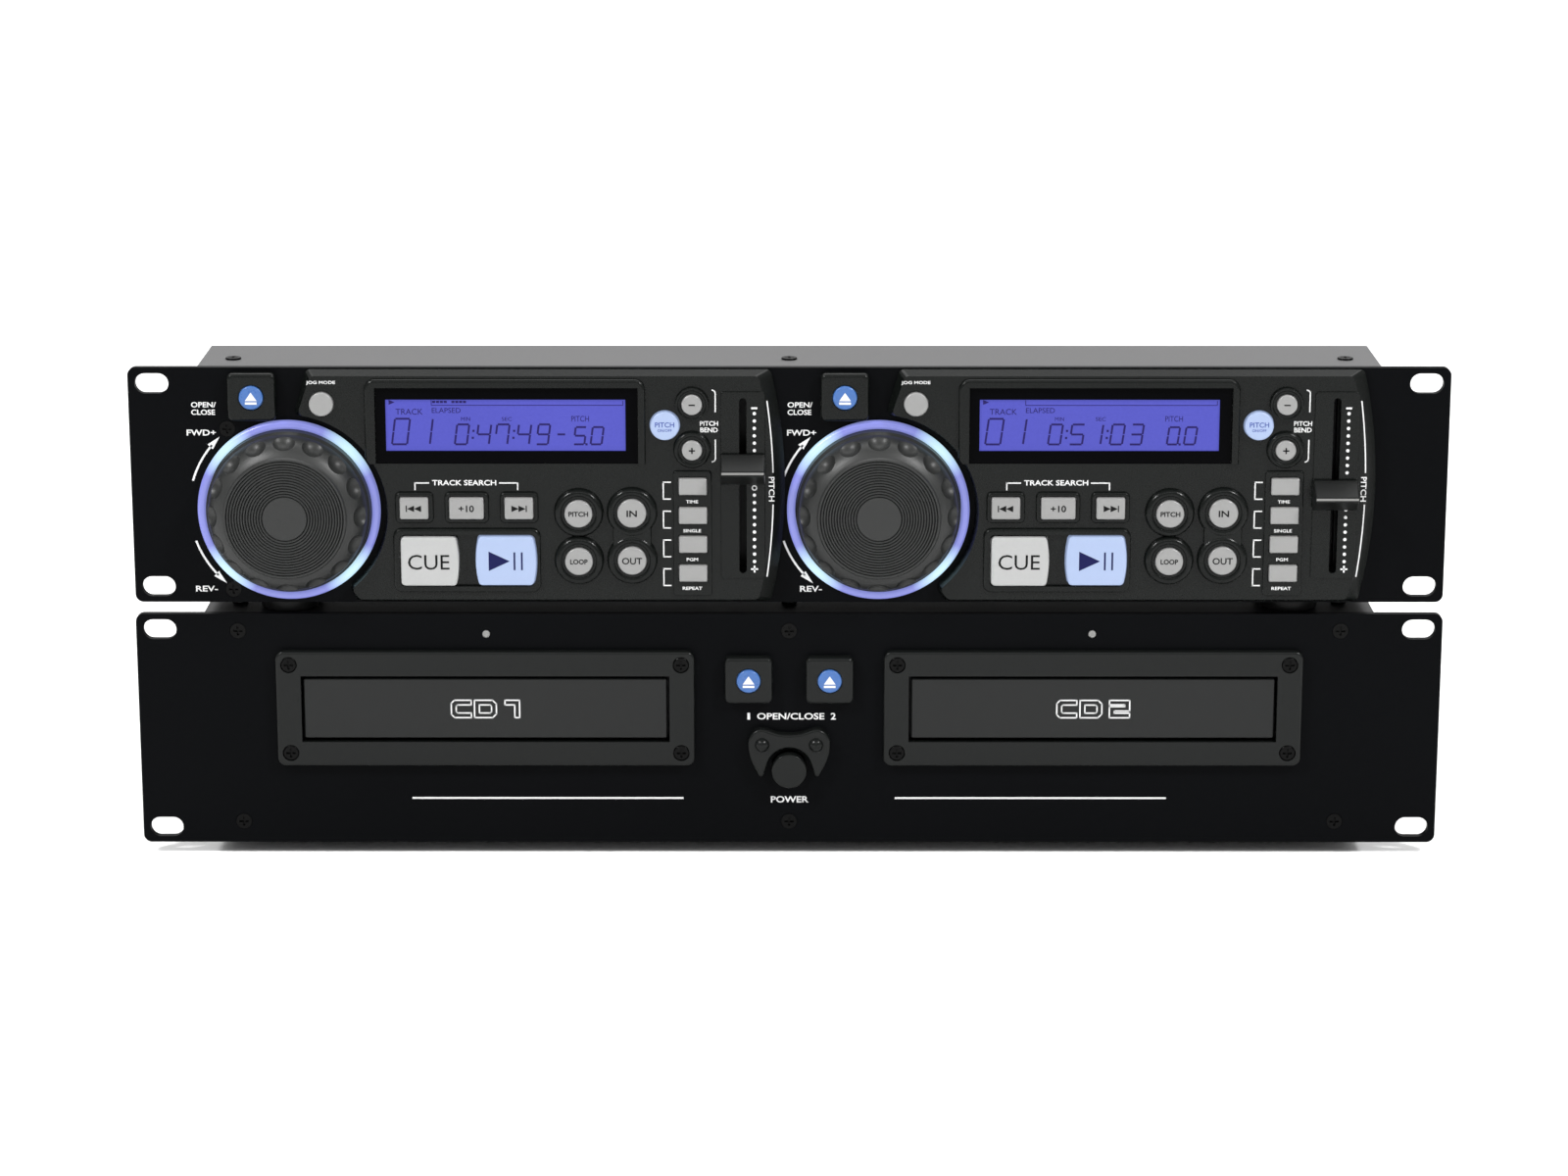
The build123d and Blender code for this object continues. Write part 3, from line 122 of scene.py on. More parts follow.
# materials
def nodeMaker(tree):
    def make(kind, **values):
        node = tree.nodes.new(kind)
        for key, value in values.items():
            if key in node.inputs:
                node.inputs[key].default_value = value
            else:
                setattr(node, key, value)
        return node
    return make


# one moulded or painted surface: fine grain, slow colour drift, uneven gloss
def satinMaterial(name, look):
    material = bpy.data.materials.new(name)
    material.use_nodes = True
    tree = material.node_tree
    shader = tree.nodes["Principled BSDF"]
    make = nodeMaker(tree)
    place = make("ShaderNodeTexCoord")
    grain = make("ShaderNodeTexNoise", Scale=look["grain"], Detail=4.0, Roughness=0.6)
    drift = make("ShaderNodeTexNoise", Scale=look.get("drift", 9.0), Detail=2.0)
    tree.links.new(place.outputs["Object"], grain.inputs["Vector"])
    tree.links.new(place.outputs["Object"], drift.inputs["Vector"])
    colour = make("ShaderNodeValToRGB")
    base = Vector(look["colour"])
    spread = look.get("spread", 0.12)
    colour.color_ramp.elements[0].position = 0.3
    colour.color_ramp.elements[0].color = (*(base * (1 - spread)), 1)
    colour.color_ramp.elements[1].position = 0.7
    colour.color_ramp.elements[1].color = (*(base * (1 + spread)), 1)
    mixed = make("ShaderNodeMath", operation="MULTIPLY_ADD")
    mixed.inputs[1].default_value = look.get("grainShare", 0.5)
    tree.links.new(grain.outputs["Fac"], mixed.inputs[0])
    half = make("ShaderNodeMath", operation="MULTIPLY")
    half.inputs[1].default_value = 1 - look.get("grainShare", 0.5)
    tree.links.new(drift.outputs["Fac"], half.inputs[0])
    tree.links.new(half.outputs[0], mixed.inputs[2])
    tree.links.new(mixed.outputs[0], colour.inputs["Fac"])
    tree.links.new(colour.outputs["Color"], shader.inputs["Base Color"])
    rough = make("ShaderNodeMapRange")
    rough.inputs["To Min"].default_value = look["rough"] - look.get("roughSpread", 0.05)
    rough.inputs["To Max"].default_value = look["rough"] + look.get("roughSpread", 0.05)
    tree.links.new(mixed.outputs[0], rough.inputs["Value"])
    tree.links.new(rough.outputs["Result"], shader.inputs["Roughness"])
    bump = make("ShaderNodeBump", Strength=look.get("bump", 0.2), Distance=look.get("depth", 0.0001))
    tree.links.new(grain.outputs["Fac"], bump.inputs["Height"])
    tree.links.new(bump.outputs["Normal"], shader.inputs["Normal"])
    shader.inputs["Metallic"].default_value = look.get("metal", 0.0)
    shader.inputs["Specular IOR Level"].default_value = look.get("shine", 0.5)
    shader.inputs["Coat Weight"].default_value = look.get("coat", 0.0)
    shader.inputs["Coat Roughness"].default_value = look.get("coatRough", 0.1)
    if look.get("glow"):
        shader.inputs["Emission Color"].default_value = (*look["glowColour"], 1)
        shader.inputs["Emission Strength"].default_value = look["glow"]
    return material


def bothOf(tree, first, second):
    product = nodeMaker(tree)("ShaderNodeMath", operation="MULTIPLY")
    tree.links.new(first, product.inputs[0])
    tree.links.new(second, product.inputs[1])
    return product.outputs[0]


# one where the value lies between low and high, and nought elsewhere; None leaves a side open
def betweenLimits(tree, value, low, high):
    result = None
    for operation, limit in (("GREATER_THAN", low), ("LESS_THAN", high)):
        if limit is None:
            continue
        test = nodeMaker(tree)("ShaderNodeMath", operation=operation)
        test.inputs[1].default_value = limit
        tree.links.new(value, test.inputs[0])
        result = bothOf(tree, result, test.outputs[0]) if result else test.outputs[0]
    return result


# a finish that changes colour and metal inside boxes given in metres, so that boards, sockets
# and lamps that share a CAD node are told apart by their place
def zonedMaterial(name, base, zones):
    material = satinMaterial(name, base)
    tree = material.node_tree
    shader = tree.nodes["Principled BSDF"]
    make = nodeMaker(tree)
    place = make("ShaderNodeTexCoord")
    split = make("ShaderNodeSeparateXYZ")
    tree.links.new(place.outputs["Object"], split.inputs[0])
    colour = shader.inputs["Base Color"].links[0].from_socket
    metal = None
    for zone in zones:
        inside = None
        for axis, low, high in zone["span"]:
            test = betweenLimits(tree, split.outputs[axis], low, high)
            inside = bothOf(tree, inside, test) if inside else test
        paint = make("ShaderNodeMix", data_type="RGBA")  # its colours are inputs 6 and 7
        paint.inputs[7].default_value = (*zone["colour"], 1)
        tree.links.new(inside, paint.inputs["Factor"])
        tree.links.new(colour, paint.inputs[6])
        colour = paint.outputs[2]
        plating = make("ShaderNodeMix", data_type="FLOAT")  # its numbers are inputs 2 and 3
        plating.inputs[3].default_value = zone.get("metal", 0.0)
        tree.links.new(inside, plating.inputs["Factor"])
        if metal:
            tree.links.new(metal, plating.inputs[2])
        else:
            plating.inputs[2].default_value = base.get("metal", 0.0)
        metal = plating.outputs[0]
    tree.links.new(colour, shader.inputs["Base Color"])
    tree.links.new(metal, shader.inputs["Metallic"])
    return material


def floorMaterial(colour):
    look = {"colour": colour, "grain": 40.0, "rough": 0.7, "spread": 0.01, "bump": 0.02}
    return satinMaterial("studioFloor", look)


finishes = {
    "panelPaint": {"colour": (0.0016, 0.0018, 0.0022), "grain": 2600.0, "rough": 0.42, "bump": 0.25,
                   "depth": 0.00006, "shine": 0.03, "spread": 0.2},
    "casePaint": {"colour": (0.010, 0.010, 0.011), "grain": 1800.0, "rough": 0.45, "bump": 0.4,
                  "depth": 0.0001, "shine": 0.2},
    "coverPaint": {"colour": (0.045, 0.045, 0.046), "grain": 1800.0, "rough": 0.5, "bump": 0.35,
                   "depth": 0.0001, "shine": 0.35},
    "fasciaPlastic": {"colour": (0.0034, 0.0041, 0.0037), "grain": 1500.0, "rough": 0.22,
                      "bump": 0.2, "depth": 0.00004, "shine": 0.14, "spread": 0.15},
    "bezelPlastic": {"colour": (0.0050, 0.0057, 0.0054), "grain": 1500.0, "rough": 0.22,
                     "bump": 0.2, "depth": 0.00004, "shine": 0.15, "spread": 0.15},
    "trayPlastic": {"colour": (0.0085, 0.0091, 0.0089), "grain": 1500.0, "rough": 0.36,
                    "bump": 0.25, "depth": 0.00006, "shine": 0.2, "spread": 0.12},
    "loaderPlastic": {"colour": (0.018, 0.018, 0.019), "grain": 700.0, "rough": 0.45, "bump": 0.2,
                      "shine": 0.3},
    "wheelPlastic": {"colour": (0.0150, 0.0157, 0.0152), "grain": 1700.0, "rough": 0.4, "bump": 0.3,
                     "depth": 0.00008, "shine": 0.3},
    "faderPlastic": {"colour": (0.0055, 0.0060, 0.0058), "grain": 1500.0, "rough": 0.3,
                     "bump": 0.15, "depth": 0.00005, "shine": 0.16},
    "greyKey": {"colour": (0.193, 0.193, 0.190), "grain": 900.0, "rough": 0.3, "bump": 0.1,
                "depth": 0.00004, "spread": 0.03, "shine": 0.6},
    "cueKey": {"colour": (0.300, 0.303, 0.300), "grain": 900.0, "rough": 0.32, "bump": 0.1,
               "depth": 0.00004, "spread": 0.03},
    "litKey": {"colour": (0.165, 0.205, 0.30), "grain": 900.0, "rough": 0.34, "bump": 0.1,
               "depth": 0.00004, "spread": 0.03, "glow": 0.30, "glowColour": (0.52, 0.66, 1.0)},
    "blueKey": {"colour": (0.034, 0.100, 0.285), "grain": 900.0, "rough": 0.28, "bump": 0.12,
                "depth": 0.00004, "spread": 0.08, "shine": 0.4},
    "boardGreen": {"colour": (0.008, 0.06, 0.026), "grain": 400.0, "rough": 0.4, "bump": 0.25,
                   "shine": 0.15},
    "screwSteel": {"colour": (0.0018, 0.0018, 0.0018), "grain": 3000.0, "rough": 0.24,
                   "bump": 0.2, "shine": 0.07},
    "rubber": {"colour": (0.012, 0.012, 0.012), "grain": 1200.0, "rough": 0.75, "bump": 0.4,
               "shine": 0.2},
    "whitePrint": {"colour": (0.58, 0.58, 0.58), "grain": 1500.0, "rough": 0.5, "bump": 0.1,
                   "spread": 0.03},
    "greyPrint": {"colour": (0.16, 0.16, 0.155), "grain": 1500.0, "rough": 0.4, "bump": 0.1,
                  "spread": 0.05},
    "blackPrint": {"colour": (0.004, 0.004, 0.004), "grain": 1500.0, "rough": 0.5, "bump": 0.1,
                   "shine": 0.1},
    "indigoPrint": {"colour": (0.006, 0.007, 0.05), "grain": 1500.0, "rough": 0.5, "bump": 0.1,
                    "shine": 0.1},
    "bluePrint": {"colour": (0.035, 0.055, 0.24), "grain": 1500.0, "rough": 0.5, "bump": 0.1,
                  "shine": 0.1},
    "blackMask": {"colour": (0.0007, 0.0007, 0.001), "grain": 500.0, "rough": 0.16, "bump": 0.02,
                  "shine": 0.02, "roughSpread": 0.03},
    "displayGlow": {"colour": (0.02, 0.02, 0.10), "grain": 900.0, "rough": 0.25, "bump": 0.03,
                    "shine": 0.1, "glow": 0.9, "glowColour": (0.072, 0.078, 0.44), "spread": 0.3},
    "displayDigit": {"colour": (0.008, 0.006, 0.04), "grain": 900.0, "rough": 0.3, "bump": 0.03,
                     "shine": 0.1, "glow": 0.25, "glowColour": (0.03, 0.012, 0.25)},
    "lampClear": {"colour": (0.35, 0.35, 0.35), "grain": 900.0, "rough": 0.15, "bump": 0.03},
}
materials = {name: satinMaterial(name, look) for name, look in finishes.items()}

# zones of nodes that hold several kinds of piece; a span is an axis with its two limits, and a
# later zone covers an earlier one
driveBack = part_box("drive_chassis")[1].y - 0.0013
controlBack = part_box("control_chassis")[1].y - 0.0013
boardFront = controlFace.y + 0.0091
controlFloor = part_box("control_chassis")[0].z + 0.0001
nickel = (0.62, 0.60, 0.56)
# the mains inlet's three blades, from their places in millimetres about the inlet's middle
inletX, inletZ = 168 * mm, driveFace.z - 10 * mm
inletBlades = [(inletX + x * mm, inletZ + z * mm) for x, z in ((-7, 0), (7, 0), (0, 4))]
zonedFinishes = {
    "driveParts": ("boardGreen", [
        {"span": [("Y", driveBack, None)], "colour": (0.008, 0.008, 0.009)},
        {"span": [("Y", driveBack, None), ("X", None, -0.07)], "colour": nickel, "metal": 1.0},
        *({"span": [("Y", driveBack - 0.0124, driveBack + 0.0004), ("X", x - 0.0012, x + 0.0012),
                    ("Z", z - 0.0022, z + 0.0022)], "colour": (0.7, 0.6, 0.35), "metal": 1.0}
          for x, z in inletBlades),
        {"span": [("X", -0.0295, 0.0295), ("Y", driveBack - 0.012, None)],
         "colour": (0.30, 0.30, 0.29), "metal": 0.9},
        {"span": [("Y", None, -0.1215)], "colour": (0.20, 0.20, 0.195)},
    ]),
    "controlParts": ("boardGreen", [
        {"span": [("Y", None, boardFront)], "colour": (0.006, 0.006, 0.006)},
        {"span": [("Y", controlBack - 0.009, None)], "colour": (0.30, 0.30, 0.29), "metal": 0.9},
    ]),
    "feetAndScrews": ("screwSteel", [
        {"span": [("Z", None, controlFloor)], "colour": (0.012, 0.012, 0.012)},
    ]),
}
for name, (base, zones) in zonedFinishes.items():
    materials[name] = zonedMaterial(name, finishes[base], zones)
print("materials made:", len(materials))


# making pieces
# turns a bmesh into an object at the origin that rides on a body
def finishPiece(name, mesh, body, materialNames=()):
    bmesh.ops.recalc_face_normals(mesh, faces=mesh.faces)
    data = bpy.data.meshes.new(name)
    mesh.to_mesh(data)
    mesh.free()
    piece = bpy.data.objects.new(name, data)
    bpy.context.scene.collection.objects.link(piece)
    for materialName in materialNames:
        data.materials.append(materials[materialName])
    if body:
        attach(piece, body)
    return piece


# matrix that stands a flat drawing up at x, y, z, facing the user or the rear
def facing(x, y, z, turn=0.0, rear=False):
    place = Matrix.Translation((x, y, z)) @ Matrix.Rotation(math.pi if rear else 0, 4, "Z")
    return place @ Matrix.Rotation(math.pi / 2, 4, "X") @ Matrix.Rotation(turn, 4, "Z")


printSet = {"thickness": 0.06 * mm, "bold": 0.01}


# all the printing of one colour on one body, drawn in millimetres about a face's middle
class PrintLayer:
    def __init__(self, name, body, origin, out, materialName, rear=False):
        self.rear = rear
        self.name = name
        self.body = body
        self.origin = origin
        self.out = out * mm
        self.materialName = materialName
        self.mesh = bmesh.new()

    def matrix(self, x, z, turn=0.0):
        y = self.origin.y + (self.out if self.rear else -self.out)
        return facing(self.origin.x + x * mm, y, self.origin.z + z * mm, turn, self.rear)

    def bar(self, x, z, width, height, turn=0.0):
        scale = Matrix.Diagonal((width * mm, height * mm, printSet["thickness"], 1))
        bmesh.ops.create_cube(self.mesh, size=1, matrix=self.matrix(x, z, turn) @ scale)

    def line(self, x0, z0, x1, z1, width):
        length = math.hypot(x1 - x0, z1 - z0)
        turn = math.atan2(z1 - z0, x1 - x0)
        self.bar((x0 + x1) / 2, (z0 + z1) / 2, length, width, turn)

    def dot(self, x, z, radius, sides=16):
        bmesh.ops.create_cone(self.mesh, cap_ends=True, segments=sides, radius1=radius * mm,
                              radius2=radius * mm, depth=printSet["thickness"],
                              matrix=self.matrix(x, z))

    # points up before it is turned
    def triangle(self, x, z, width, height, turn=0.0):
        scale = Matrix.Diagonal((width / 1.732, height / 1.5, 1, 1))
        lift = Matrix.Translation((0, -height * mm / 6, 0))
        bmesh.ops.create_cone(self.mesh, cap_ends=True, segments=3, radius1=mm, radius2=mm,
                              depth=printSet["thickness"],
                              matrix=self.matrix(x, z, turn) @ lift @ scale)

    def arc(self, x, z, radius, start, end, width, steps=24):
        angles = [math.radians(start + (end - start) * i / steps) for i in range(steps + 1)]
        points = [(x + radius * math.cos(a), z + radius * math.sin(a)) for a in angles]
        for (x0, z0), (x1, z1) in zip(points, points[1:]):
            self.line(x0, z0, x1, z1, width)

    # a closed line through the points, with round corners
    def outline(self, points, x, z, width):
        for (x0, z0), (x1, z1) in zip(points, points[1:] + points[:1]):
            self.line(x + x0, z + z0, x + x1, z + z1, width)
            self.dot(x + x0, z + z0, width / 2, 12)

    # lettering scaled to fill the given height and width, about its middle
    def words(self, text, x, z, height, width=None, turn=0.0, bold=None):
        curve = bpy.data.curves.new("lettering", "FONT")
        curve.body = text
        curve.size = 1.0
        curve.extrude = 0.5
        curve.offset = printSet["bold"] if bold is None else bold
        curve.resolution_u = 3
        holder = bpy.data.objects.new("lettering", curve)
        bpy.context.scene.collection.objects.link(holder)
        bpy.context.view_layer.update()
        data = bpy.data.meshes.new_from_object(holder)
        bpy.data.objects.remove(holder)
        xs = [v.co.x for v in data.vertices]
        ys = [v.co.y for v in data.vertices]
        tall = max(ys) - min(ys)
        wide = max(xs) - min(xs)
        scaleY = height * mm / tall
        scaleX = width * mm / wide if width else scaleY
        centre = Matrix.Translation((-(max(xs) + min(xs)) / 2, -(max(ys) + min(ys)) / 2, 0))
        scale = Matrix.Diagonal((scaleX, scaleY, printSet["thickness"], 1))
        data.transform(self.matrix(x, z, turn) @ scale @ centre)
        self.mesh.from_mesh(data)
        bpy.data.meshes.remove(data)

    def finish(self):
        bmesh.ops.remove_doubles(self.mesh, verts=self.mesh.verts, dist=1e-7)
        return finishPiece(self.name, self.mesh, self.body, [self.materialName])


addStudio(studio)
print("camera and studio ready")

# finishes of the carried-over CAD nodes
nodeFinishes = {
    "drive_front_panel": "panelPaint", "control_front_panel": "panelPaint",
    "drive_chassis": "casePaint", "control_chassis": "casePaint", "drive_top_cover": "casePaint",
    "control_top_cover": "coverPaint", "drive_bezels": "bezelPlastic",
    "control_fascias": "fasciaPlastic", "disc_loaders": "loaderPlastic",
    "drive_electronics": "driveParts", "control_electronics": "controlParts",
    "drive_screws": "screwSteel", "control_feet_and_screws": "feetAndScrews",
    "drive_feet": "rubber",
    "disc_tray_1": "trayPlastic", "disc_tray_2": "trayPlastic", "power_button": "bezelPlastic",
    "drive_open_button_1": "blueKey", "drive_open_button_2": "blueKey",
    "control_lenses": "lampClear",
}
deckFinishes = {
    "jog_wheel": "wheelPlastic", "pitch_fader": "faderPlastic", "open_button": "blueKey",
    "cue_button": "cueKey", "play_button": "litKey", "pitch_on_button": "litKey",
}
for side in ("left", "right"):
    for name, finish in deckFinishes.items():
        nodeFinishes[f"{side}_{name}"] = finish
for name, piece in nodes.items():
    finish = materials[nodeFinishes.get(name, "greyKey")]
    if not piece.data.materials:
        piece.data.materials.append(finish)
    for index in range(len(piece.data.materials)):
        piece.data.materials[index] = finish
print("nodes finished:", len(nodes))

# light rings
ringSet = {
    "outer": 33.5, "bore": 30.5, "height": 2.8, "collar": 31.5, "sink": 3.0,
    # rounded edges, each point as its distance in from the side and back from the front
    "outerEdge": ((0, 0.9), (0.35, 0.25), (0.95, 0)),
    "innerEdge": ((0.7, 0), (0.2, 0.25), (0, 0.8)),
    "steps": 128, "plastic": (0.05, 0.05, 0.2), "colour": (0.20, 0.225, 0.52),
    "spot": (0.62, 0.92, 1.0), "spotStart": 0.55, "strength": 0.95, "spots": 4,
}


def ringMaterial(deck, settings):
    material = bpy.data.materials.new(deck["side"] + "RingGlow")
    material.use_nodes = True
    tree = material.node_tree
    shader = tree.nodes["Principled BSDF"]
    make = nodeMaker(tree)
    place = make("ShaderNodeTexCoord")
    centred = make("ShaderNodeMapping")
    centred.inputs["Location"].default_value = (-deck["x"], 0, -deck["z"])
    split = make("ShaderNodeSeparateXYZ")
    angle = make("ShaderNodeMath", operation="ARCTAN2")
    turns = make("ShaderNodeMath", operation="MULTIPLY")
    turns.inputs[1].default_value = settings["spots"]
    wave = make("ShaderNodeMath", operation="COSINE")
    ramp = make("ShaderNodeValToRGB")
    fit = make("ShaderNodeMapRange")
    fit.inputs["From Min"].default_value = 1.0
    fit.inputs["From Max"].default_value = -1.0
    links = [(place.outputs["Object"], centred.inputs[0]), (centred.outputs[0], split.inputs[0]),
             (split.outputs["Z"], angle.inputs[0]), (split.outputs["X"], angle.inputs[1]),
             (angle.outputs[0], turns.inputs[0]), (turns.outputs[0], wave.inputs[0]),
             (wave.outputs[0], fit.inputs["Value"]), (fit.outputs[0], ramp.inputs["Fac"]),
             (ramp.outputs["Color"], shader.inputs["Emission Color"])]
    for source, target in links:
        tree.links.new(source, target)
    ramp.color_ramp.elements[0].position = settings["spotStart"]
    ramp.color_ramp.elements[0].color = (*settings["colour"], 1)
    ramp.color_ramp.elements[1].position = 1.0
    ramp.color_ramp.elements[1].color = (*settings["spot"], 1)
    shader.inputs["Emission Strength"].default_value = settings["strength"]
    shader.inputs["Base Color"].default_value = (*settings["plastic"], 1)
    shader.inputs["Roughness"].default_value = 0.3
    return material


def addRing(deck, settings):
    mesh = bmesh.new()
    y = controlFace.y
    outer, bore, height = settings["outer"], settings["bore"], settings["height"]
    profile = [(bore, settings["sink"]), (settings["collar"], settings["sink"]),
               (settings["collar"], 0), (outer, 0)]
    profile += [(outer - inward, back - height) for inward, back in settings["outerEdge"]]
    profile += [(bore + inward, back - height) for inward, back in settings["innerEdge"]]
    ring = [mesh.verts.new((deck["x"] + r * mm, y + out * mm, deck["z"])) for r, out in profile]
    edges = [mesh.edges.new((a, b)) for a, b in zip(ring, ring[1:] + ring[:1])]
    bmesh.ops.spin(mesh, geom=ring + edges, cent=(deck["x"], y, deck["z"]), axis=(0, 1, 0),
                   angle=2 * math.pi, steps=settings["steps"], use_merge=True)
    bmesh.ops.remove_doubles(mesh, verts=mesh.verts, dist=1e-7)
    for face in mesh.faces:
        face.smooth = True
    piece = finishPiece(deck["side"] + "LightRing", mesh, controlBody)
    piece.data.materials.append(ringMaterial(deck, settings))
    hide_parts("control_lenses")
    return piece


for deck in decks:
    addRing(deck, ringSet)

# soft domes over the collars round the small round keys
collarSet = {
    # key: rise of the collar under the dome and its width, in mm
    "keys": {"pitch": (1.8, 2.8), "loop": (1.8, 2.8), "in": (1.8, 2.8), "out": (1.8, 2.8),
             "bend_down": (1.5, 2.4), "bend_up": (1.5, 2.4)},
    "gap": 0.35, "crest": 0.9, "over": 0.45, "skirt": 0.35, "steps": 7,
}


def addCollars(deck, settings):
    mesh = bmesh.new()
    base = controlFace.y - fasciaFront * mm
    for key, (rise, grow) in settings["keys"].items():
        low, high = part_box(f"{deck['side']}_{key}_button")
        middle = Vector(((low.x + high.x) / 2, base, (low.z + high.z) / 2))
        radius = (high.x - low.x) / 2 / mm
        inner = radius + settings["gap"]
        crest = inner + settings["crest"]
        outer = radius + grow + settings["skirt"]
        if key.startswith("bend"):  # stops short of the lit key beside it
            litLow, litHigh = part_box(deck["side"] + "_pitch_on_button")
            away = math.hypot(middle.x - (litLow.x + litHigh.x) / 2,
                              middle.z - (litLow.z + litHigh.z) / 2)
            outer = min(outer, (away - (litHigh.x - litLow.x) / 2) / mm - 0.3)
        top = rise + settings["over"]
        profile = [(inner, rise - 0.4), (inner, rise + 0.1), (inner + 0.3, rise + 0.3)]
        for i in range(settings["steps"] + 1):
            angle = math.pi / 2 * i / settings["steps"]
            profile.append((crest + (outer - crest) * math.sin(angle), top * math.cos(angle)))
        ring = [mesh.verts.new(middle + Vector((r * mm, -out * mm, 0))) for r, out in profile]
        edges = [mesh.edges.new((a, b)) for a, b in zip(ring, ring[1:] + ring[:1])]
        bmesh.ops.spin(mesh, geom=ring + edges, cent=middle, axis=(0, 1, 0), angle=2 * math.pi,
                       steps=64, use_merge=True)
    bmesh.ops.remove_doubles(mesh, verts=mesh.verts, dist=1e-7)
    for face in mesh.faces:
        face.smooth = True
    finishPiece(deck["side"] + "KeyCollars", mesh, controlBody, ["fasciaPlastic"])


for deck in decks:
    addCollars(deck, collarSet)

# displays
displaySet = {"x": 80.65, "z": 23.7, "width": 95.3, "height": 28.0, "thickness": 1.5,
              "glassLeft": 36.6, "glassRight": 123.9, "glassBottom": 14.2, "glassTop": 33.3,
              "pocket": 0.7}


# a gloss black window with the lit glass in a shallow pocket
def addDisplay(deck, settings):
    mesh = bmesh.new()
    front = controlFace.y - fasciaFront * mm
    scale = Matrix.Diagonal((settings["width"] * mm, settings["thickness"] * mm,
                             settings["height"] * mm, 1))
    middle = Matrix.Translation((deck["x"] + settings["x"] * mm,
                                 front + settings["thickness"] * mm / 2,
                                 controlFace.z + settings["z"] * mm))
    bmesh.ops.create_cube(mesh, size=1, matrix=middle @ scale)
    face = min(mesh.faces, key=lambda f: f.calc_center_median().y)
    bmesh.ops.inset_region(mesh, faces=[face], thickness=3 * mm)
    centre = face.calc_center_median()
    for vert in face.verts:
        left = vert.co.x < centre.x
        below = vert.co.z < centre.z
        vert.co.x = deck["x"] + settings["glassLeft" if left else "glassRight"] * mm
        vert.co.z = controlFace.z + settings["glassBottom" if below else "glassTop"] * mm
    made = bmesh.ops.extrude_discrete_faces(mesh, faces=[face])
    glass = made["faces"][0]
    for vert in glass.verts:
        vert.co.y += settings["pocket"] * mm
    glass.material_index = 1
    piece = finishPiece(deck["side"] + "DisplayWindow", mesh, controlBody,
                        ["blackMask", "displayGlow"])
    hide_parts("control_lenses")


for deck in decks:
    addDisplay(deck, displaySet)
print("rings, collars and displays made")

# what the displays show: slanted seven-part figures, in mm about the panel's middle
segments = {  # ends of each stroke in a figure one wide and two high
    "a": ((0, 2), (1, 2)), "b": ((1, 2), (1, 1)), "c": ((1, 1), (1, 0)), "d": ((0, 0), (1, 0)),
    "e": ((0, 1), (0, 0)), "f": ((0, 2), (0, 1)), "g": ((0, 1), (1, 1)),
}
figures = {"0": "abcdef", "1": "bc", "3": "abcdg", "4": "bcfg", "5": "acdfg", "7": "abcf",
           "9": "abcdfg", "-": "g"}
readings = {
    # figure, left edge, width, height
    "left": [("0", 38.7, 5.5, 9.5), ("1", 47.0, 5.5, 9.5), ("0", 61.6, 4.4, 7.4),
             ("4", 69.4, 4.6, 7.4), ("7", 76.2, 4.5, 7.4), ("4", 84.1, 4.5, 7.4),
             ("9", 91.3, 4.2, 7.4), ("-", 98.4, 3.1, 7.4), ("5", 104.9, 3.9, 6.4),
             ("0", 111.1, 4.0, 6.4)],
    "right": [("0", 38.7, 5.5, 9.5), ("1", 47.0, 5.5, 9.5), ("0", 61.6, 4.4, 7.4),
              ("5", 69.4, 4.6, 7.4), ("1", 76.2, 4.5, 7.4), ("0", 84.1, 4.5, 7.4),
              ("3", 91.3, 4.2, 7.4), ("0", 104.9, 3.9, 6.4), ("0", 111.1, 4.0, 6.4)],
}
displayPrint = {"bottom": 16.6, "slant": 0.136, "stroke": 0.72, "gap": 0.16,
                "words": [("TRACK", 45.2, 28.7, 9.9, 2.2), ("ELAPSED", 58.7, 29.2, 10.5, 1.9),
                          ("MIN", 65.7, 26.0, 3.3, 1.4), ("SEC", 80.7, 26.0, 3.7, 1.4),
                          ("PITCH", 107.4, 26.1, 6.4, 2.1)],
                "points": [(68.5, 21.6), (68.2, 19.0), (83.3, 21.6), (83.0, 19.0), (109.6, 16.6)],
                "barLeft": 53.3, "barRight": 123.0, "barZ": 31.1,
                "blocks": {"left": [0.9, 2.3, 3.7, 5.1, 7.9, 9.3, 10.7, 12.1], "right": []}}


def drawFigure(layer, name, left, width, height, settings):
    for part in figures[name]:
        (x0, z0), (x1, z1) = segments[part]
        ends = []
        for x, z in ((x0, z0), (x1, z1)):
            up = z * height / 2
            ends.append((left + x * width + up * settings["slant"], settings["bottom"] + up))
        (ax, az), (bx, bz) = ends
        length = math.hypot(bx - ax, bz - az)
        trim = settings["gap"] / length
        layer.line(ax + (bx - ax) * trim, az + (bz - az) * trim,
                   bx - (bx - ax) * trim, bz - (bz - az) * trim, settings["stroke"])


def addReading(deck, settings):
    glassOut = fasciaFront - displaySet["pocket"]
    layer = PrintLayer(deck["side"] + "Reading", controlBody, deck["origin"], glassOut + 0.02,
                       "displayDigit")
    for name, left, width, height in readings[deck["side"]]:
        drawFigure(layer, name, left, width, height, settings)
    for words, x, z, width, height in settings["words"]:
        layer.words(words, x, z, height, width, bold=0.0)
    for x, z in settings["points"]:
        layer.bar(x, z, 0.8, 0.8)
    left, right, z = settings["barLeft"], settings["barRight"], settings["barZ"]
    layer.line(left, z, right, z, 0.25)
    layer.line(right, z, right, z + 1.6, 0.25)
    layer.line(left, z, left, z + 1.9, 0.25)
    for along in settings["blocks"][deck["side"]]:
        layer.bar(left + along, z + 1.25, 1.1, 0.85)
    layer.triangle(38.9, 32.2, 1.8, 2.2, -math.pi / 2)
    layer.finish()


